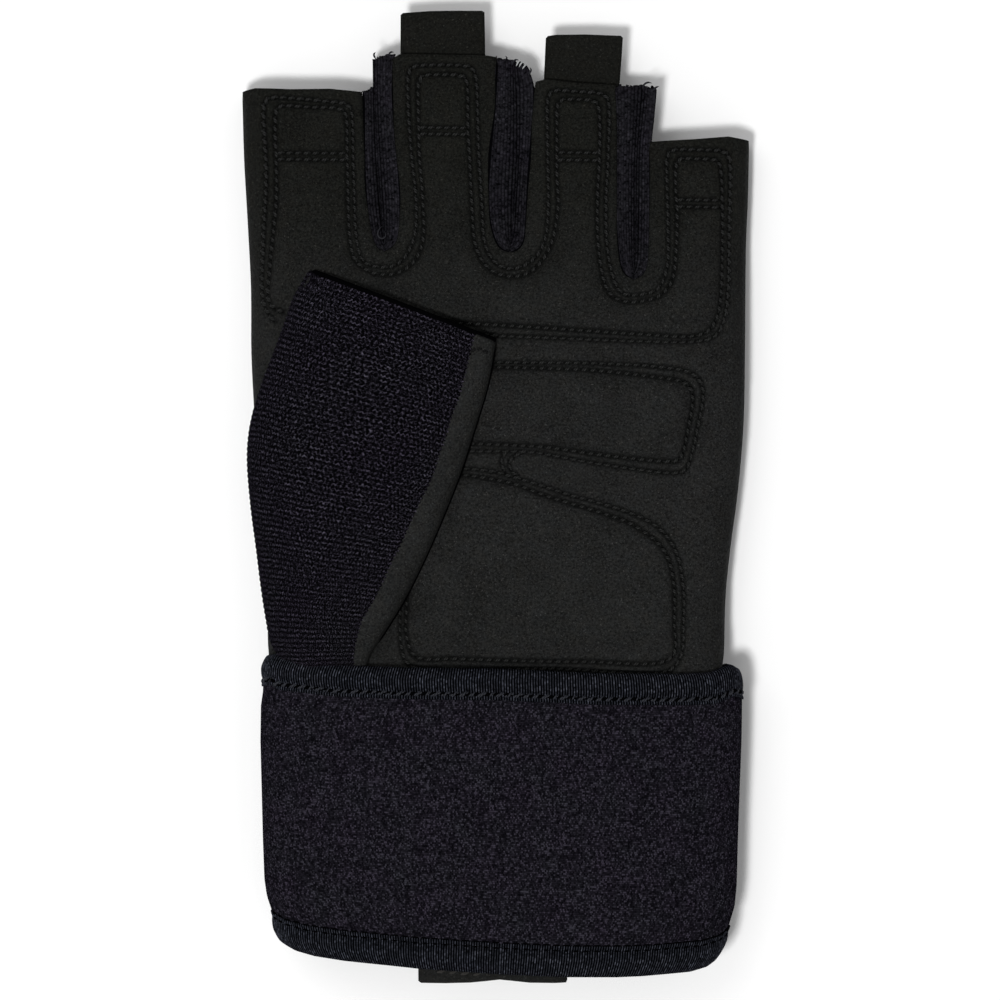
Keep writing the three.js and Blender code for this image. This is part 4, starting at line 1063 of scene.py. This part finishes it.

# Wrist wrap.
# A long elastic wrap goes round the cuff and closes on the back of the wrist: foam between two layers of
# fine jersey with pale fibres, whose glitter is painted highlights. Here it is one closed loop, as it is
# worn.
WRAP_MIDDLE, WRAP_FACE = 15.0, 26.0
WRAP_LEFT = on_photo(
    (267, 655), (264, 665), (263, 690), (261, 704), (260.5, 740), (261.5, 780), (263, 840), (264.5, 880),
    (267, 897), (272, 912), (276, 930), (282, 945), height=WRAP_MIDDLE)
WRAP_RIGHT = on_photo(
    (733, 660), (738, 672), (740.5, 690), (742, 704), (741.5, 740), (740, 778), (738.3, 820), (736.5, 880),
    (734.5, 898), (730, 912), (724, 930), (716, 948), height=WRAP_MIDDLE)
LEFT_SPAN = on_photo((265, 662), (282, 937), height=WRAP_MIDDLE)[:, 1]
RIGHT_SPAN = on_photo((740, 682), (718, 940), height=WRAP_MIDDLE)[:, 1]
TOP_OUTLINE = on_photo(
    (250, 659), (262, 656.5), (267, 655), (271, 655), (277, 659), (332, 665), (401, 667.5), (500, 668.7),
    (595, 673), (680, 674), (715, 673), (725, 669), (733, 666), (738, 667), (743, 670), (746, 672),
    (760, 676), height=WRAP_FACE)
BOTTOM_OUTLINE = on_photo(
    (250, 930), (268, 935), (278, 944), (295, 952.5), (314, 957.2), (344, 961.3), (390, 965.6),
    (418, 968.5), (500, 974), (567, 977), (618, 977.3), (643, 976.4), (691, 973), (707, 969), (714, 964.5),
    (719, 959.5), (727, 949), (735, 938), (760, 930), height=WRAP_FACE)
TOP_LIP, BOTTOM_LIP = 1.8, 1.2  # how far the rolled bindings reach past the wrap's edges
WRAP_TOP_EDGE = TOP_OUTLINE - (0, TOP_LIP)
WRAP_BOTTOM_EDGE = BOTTOM_OUTLINE + (0, BOTTOM_LIP)
WRAP_LOW, WRAP_HIGH = 1.8, 27.8
WRAP_SQUARENESS = 2.9
WRAP_WALL = 3.0
WRAP_HEIGHT = 61.5
JERSEY_COURSE, JERSEY_LOOP = 0.38, 0.31
jersey = knit("glitter_jersey", (0.0008, 0.0007, 0.0012), (0.032, 0.032, 0.04), (0.036, 0.0295, 0.0445), 0.08,
              groove=0.6, narrow=7, glint=1.3, bend=0.15, fibre=1.5, fineness=1.6, cells=0.55)


def loop_points(along, turns, depth, rise=0.0):
    """Points round the wrap's loop: along is 0 at its top edge and 1 at its bottom edge."""
    waves = np.cos(turns), np.sin(turns)
    across, up = [np.sign(wave) * np.abs(wave) ** (2 / WRAP_SQUARENESS) for wave in waves]
    edges = []
    for outline, end in ((WRAP_TOP_EDGE, 2), (WRAP_BOTTOM_EDGE, -1)):
        span = WRAP_LEFT[end, 0] + (WRAP_RIGHT[end, 0] - WRAP_LEFT[end, 0]) * (across + 1) / 2
        edges.append(np.interp(span, outline[:, 0], outline[:, 1]))
    top, bottom = edges
    places = []
    for share, inward, past in np.broadcast(along, depth, rise):
        sides = []
        for span, line in ((LEFT_SPAN, WRAP_LEFT), (RIGHT_SPAN, WRAP_RIGHT)):
            y = span[0] + (span[1] - span[0]) * share + past
            sides.append(np.interp(-y, -line[:, 1], line[:, 0]))
        left, right = sides
        x = (left + right) / 2 + ((right - left) / 2 - inward) * across
        z = (WRAP_LOW + WRAP_HIGH) / 2 + ((WRAP_HIGH - WRAP_LOW) / 2 - inward) * up
        places.append(np.column_stack([x, top + (bottom - top) * share + past, z]))
    return np.array(places)


def loop_turns(count):
    """Turns round the wrap's loop that give points evenly spaced along it, from its right side."""
    rough = np.linspace(0, math.tau, 4001)
    way = way_along(loop_points([0.5], rough, 0.0)[0])
    return np.interp(np.linspace(0, way[-1], count, endpoint=False), way, rough), way[-1]


WRAP_COLUMNS = 200
INSIDE_ROWS, OUTSIDE_ROWS = 12, 60
wrap_turns, wrap_round = loop_turns(WRAP_COLUMNS)
wrap_along = np.concatenate([np.linspace(1, 0, INSIDE_ROWS), np.linspace(0, 1, OUTSIDE_ROWS)])
wrap_depth = np.concatenate([np.full(INSIDE_ROWS, WRAP_WALL), np.zeros(OUTSIDE_ROWS)])
wrap_grid = loop_points(wrap_along, wrap_turns, wrap_depth)
wrap_counts = np.stack(np.meshgrid(np.linspace(0, wrap_round / JERSEY_LOOP, WRAP_COLUMNS),
                                   wrap_along * WRAP_HEIGHT / JERSEY_COURSE), axis=-1)
show(grid_mesh("wrap_jersey", wrap_grid, wrap_counts, jersey, closed=True, flip=True), "jersey", "wrist_wrap")

# Bindings.
# A ribbed knit tape is rolled over each edge of the wrap and coverstitched down.
binding_knit = knit("ribbed_binding", (0.0009, 0.001, 0.0014), (0.084, 0.087, 0.107), (0.074, 0.082, 0.11),
                    0.1, groove=1.0, narrow=16, glint=0.7, fibre=2.2, fineness=0.8, cells=0.2)
BINDING_RIB = 0.55
BINDING_LOOP = 0.5
RIB_COLUMNS = 5
TAPE_STEP = 0.5
SIDE_SHARE = 0.3  # the tape is drawn flat where it goes round the wrap's sides
binding_columns = int(wrap_round / BINDING_RIB) * RIB_COLUMNS
binding_turns, _ = loop_turns(binding_columns)
rib_phase = np.arange(binding_columns) / RIB_COLUMNS
# How far each line of the tape stands off the wrap's face and how far it lies past the wrap's edge.
TOP_TAPE = [
    (-0.1, -4.6), (0.4, -4.7), (0.62, -4.4), (0.5, -4.05), (0.1, -3.8), (0.1, -3.2), (0.5, -2.8),
    (1.05, -2.2), (1.35, -1.4), (1.4, -0.5), (1.2, 0.4), (0.6, 1.2), (0.0, 1.6), (-1.0, TOP_LIP),
    (-2.0, TOP_LIP), (-3.2, 1.3), (-4.2, 0.2), (-4.4, -1.5), (-4.4, -4.3), (-3.4, -4.6)]
BOTTOM_TAPE = [
    (-0.1, -5.3), (0.3, -5.3), (0.42, -4.95), (0.33, -4.6), (0.0, -4.2), (0.45, -3.8), (0.95, -3.1),
    (1.3, -2.2), (1.3, -1.2), (1.0, -0.3), (0.6, 0.4), (0.0, 0.9), (-1.0, BOTTOM_LIP), (-2.0, BOTTOM_LIP),
    (-3.2, 0.9), (-4.2, 0.0), (-4.4, -1.5), (-4.4, -5.0), (-3.4, -5.3)]


def tape(name, profile, end):
    """A binding: its profile swept round the wrap's top edge (end 0) or bottom edge (end 1)."""
    fine = smooth_path(profile, TAPE_STEP)
    sign = 1 if end == 0 else -1
    grid = loop_points([end] * len(fine), binding_turns, -fine[:, 0], sign * fine[:, 1])
    flat = loop_points([end] * len(fine), binding_turns, 0 * fine[:, 0], sign * fine[:, 1])
    grid[..., 0] = flat[..., 0] + SIDE_SHARE * (grid[..., 0] - flat[..., 0])
    ring = (np.roll(grid, -1, axis=1) - np.roll(grid, 1, axis=1))[..., (0, 2)]
    ring /= np.linalg.norm(ring, axis=2)[..., None] + 1e-9
    relief = 0.17 * np.cos(math.tau * rib_phase)
    grid[..., 0] += ring[..., 1] * relief
    grid[..., 2] -= ring[..., 0] * relief
    counts = np.stack(np.meshgrid(way_along(fine) / BINDING_LOOP, rib_phase + 0.5, indexing="ij"), axis=-1)
    show(grid_mesh(f"{name}_tape", grid, counts, binding_knit, closed=True, flip=end == 1), "binding", name)
    return grid


def tape_line(profile, grid, past):
    """The line of a tape's face that lies nearest to a way past the wrap's edge."""
    face = smooth_path(profile, TAPE_STEP)[:12, 1]
    return grid[int(np.argmin(np.abs(face - past)))]


SEEN_LOW = 17.0  # below this height the threads sink into the bent tape


def seen_part(line):
    """The part of a closed line round the wrap that lies on its upper side."""
    line = np.roll(line, -int(np.argmax(line[:, 2] < SEEN_LOW)), axis=0)
    return line[line[:, 2] > SEEN_LOW]


top_tape = tape("wrap_binding_top", TOP_TAPE, 0)
bottom_tape = tape("wrap_binding_bottom", BOTTOM_TAPE, 1)

# Coverstitch of the top binding: a chain of grey-black thread that leans to the right along its lower edge.
chain_thread = thread("chain_thread", (0.016, 0.0172, 0.022), 0.45)
CHAIN_PITCH = 3.0
CHAIN_REACH = -3.5
chain = tape_line(TOP_TAPE, top_tape, CHAIN_REACH)
closed_chain = np.vstack([chain, chain[:1]])
ways = way_along(closed_chain)
places = seen_part(at_ways(closed_chain, ways, np.arange(0, ways[-1], CHAIN_PITCH)))
ways = np.gradient(places, axis=0)
ways /= np.linalg.norm(ways, axis=1)[:, None]
ups = np.cross(ways, (0, -1, 0))
ups *= np.where(np.sum(ups * (places - (0, 0, WRAP_MIDDLE)), axis=1) < 0, -1, 1)[:, None]
leaned = ways * np.where(ways[:, :1] < 0, -1, 1) + np.array((0, 0.6, 0))
stitched("binding_chain", places + ups * 0.15, leaned, ups, chain_thread, length=1.9, thread=0.19, arch=0.2)

# Painted furrow shadows.
# Black cords stand for the shadow in the furrow along each tape's sewn edge, where the coverstitch draws the
# tape down.
painted_furrow_shadow = thread("painted_furrow_shadow", (0.0008, 0.0008, 0.001), 1.0, 0.0)
BOTTOM_FURROW = -4.2
SHADOW_FURROWS = [("furrow_shadow_top", chain, 0.5),
           ("furrow_shadow_bottom", tape_line(BOTTOM_TAPE, bottom_tape, BOTTOM_FURROW), 0.3),
           ("furrow_shadow_bottom_edge", bottom_tape[0], 0.35)]
for name, furrow, radius in SHADOW_FURROWS:
    cord(name, seen_part(furrow)[::4] - (0, 0, 0.12), radius, painted_furrow_shadow)

# Closure on the hidden side.
# The wrap's end is a plain pad of hook-and-loop tape pressed on the wrap under the wrist.
CLOSURE_LOW, CLOSURE_HIGH = np.array((-26.8, -91.4)), np.array((29.2, -45.4))
CORNER = 4.0
CORNER_STEPS = 6
CLOSURE_THICKNESS = 1.5


def rounded_box(low, high, corner):
    """A rounded rectangle in the plan."""
    outline = []
    for number, (side_x, side_y) in enumerate(((1, 1), (-1, 1), (-1, -1), (1, -1))):
        x = (high[0] if side_x > 0 else low[0]) - corner * side_x
        y = (high[1] if side_y > 0 else low[1]) - corner * side_y
        for k in range(CORNER_STEPS + 1):
            angle = math.pi / 2 * (number + k / CORNER_STEPS)
            outline.append((x + corner * math.cos(angle), y + corner * math.sin(angle)))
    return np.array(outline)


closure_outline = rounded_box(CLOSURE_LOW, CLOSURE_HIGH, CORNER)


def closure_height(points):
    """The closure's lower face, rolled up at its edge."""
    return 0.5 * rolled_rim(points, closure_outline, 1.0)


closure_net = lattice(CLOSURE_LOW, CLOSURE_HIGH, 1.2)
lower_piece("closure_pad", closure_outline, closure_net, closure_height, 1.0, (0.6, 0.6), CLOSURE_THICKNESS,
            "wrap_closure")

# Cuff tab.
# The heel leather's end peeks out below the wrap, with the last stitches of its hem.
CUFF_LEVEL = 23.0
CUFF_TAB = on_photo(
    (418, 944), (418.3, 981), (421, 983), (445, 983.4), (470, 982.8), (487, 981.2), (499.5, 979.8),
    (512, 981), (530, 983), (555, 983.2), (566, 982.6), (567.3, 980), (567.5, 944), height=CUFF_LEVEL)
CUFF_THICKNESS = 1.7


def cuff_height(points):
    """The cuff tab's face."""
    return CUFF_LEVEL - 0.4 * rolled_rim(points, CUFF_TAB, 0.8) + 0.1 * unevenness(points * 2)


flat_suede("cuff_end", CUFF_TAB, cuff_height, CUFF_THICKNESS, "cuff_tab")

hem_thread = thread("hem_thread", (0.03, 0.028, 0.026), 0.6)
CUFF_ROW = on_photo((435, 971), (483, 974.6), height=CUFF_LEVEL)
laid = row_stitches([CUFF_ROW], cuff_height, 0.35, 2.5)
stitched("cuff_stitches", *laid, hem_thread, length=1.7, thread=0.15, arch=0.1, twist=0.6)
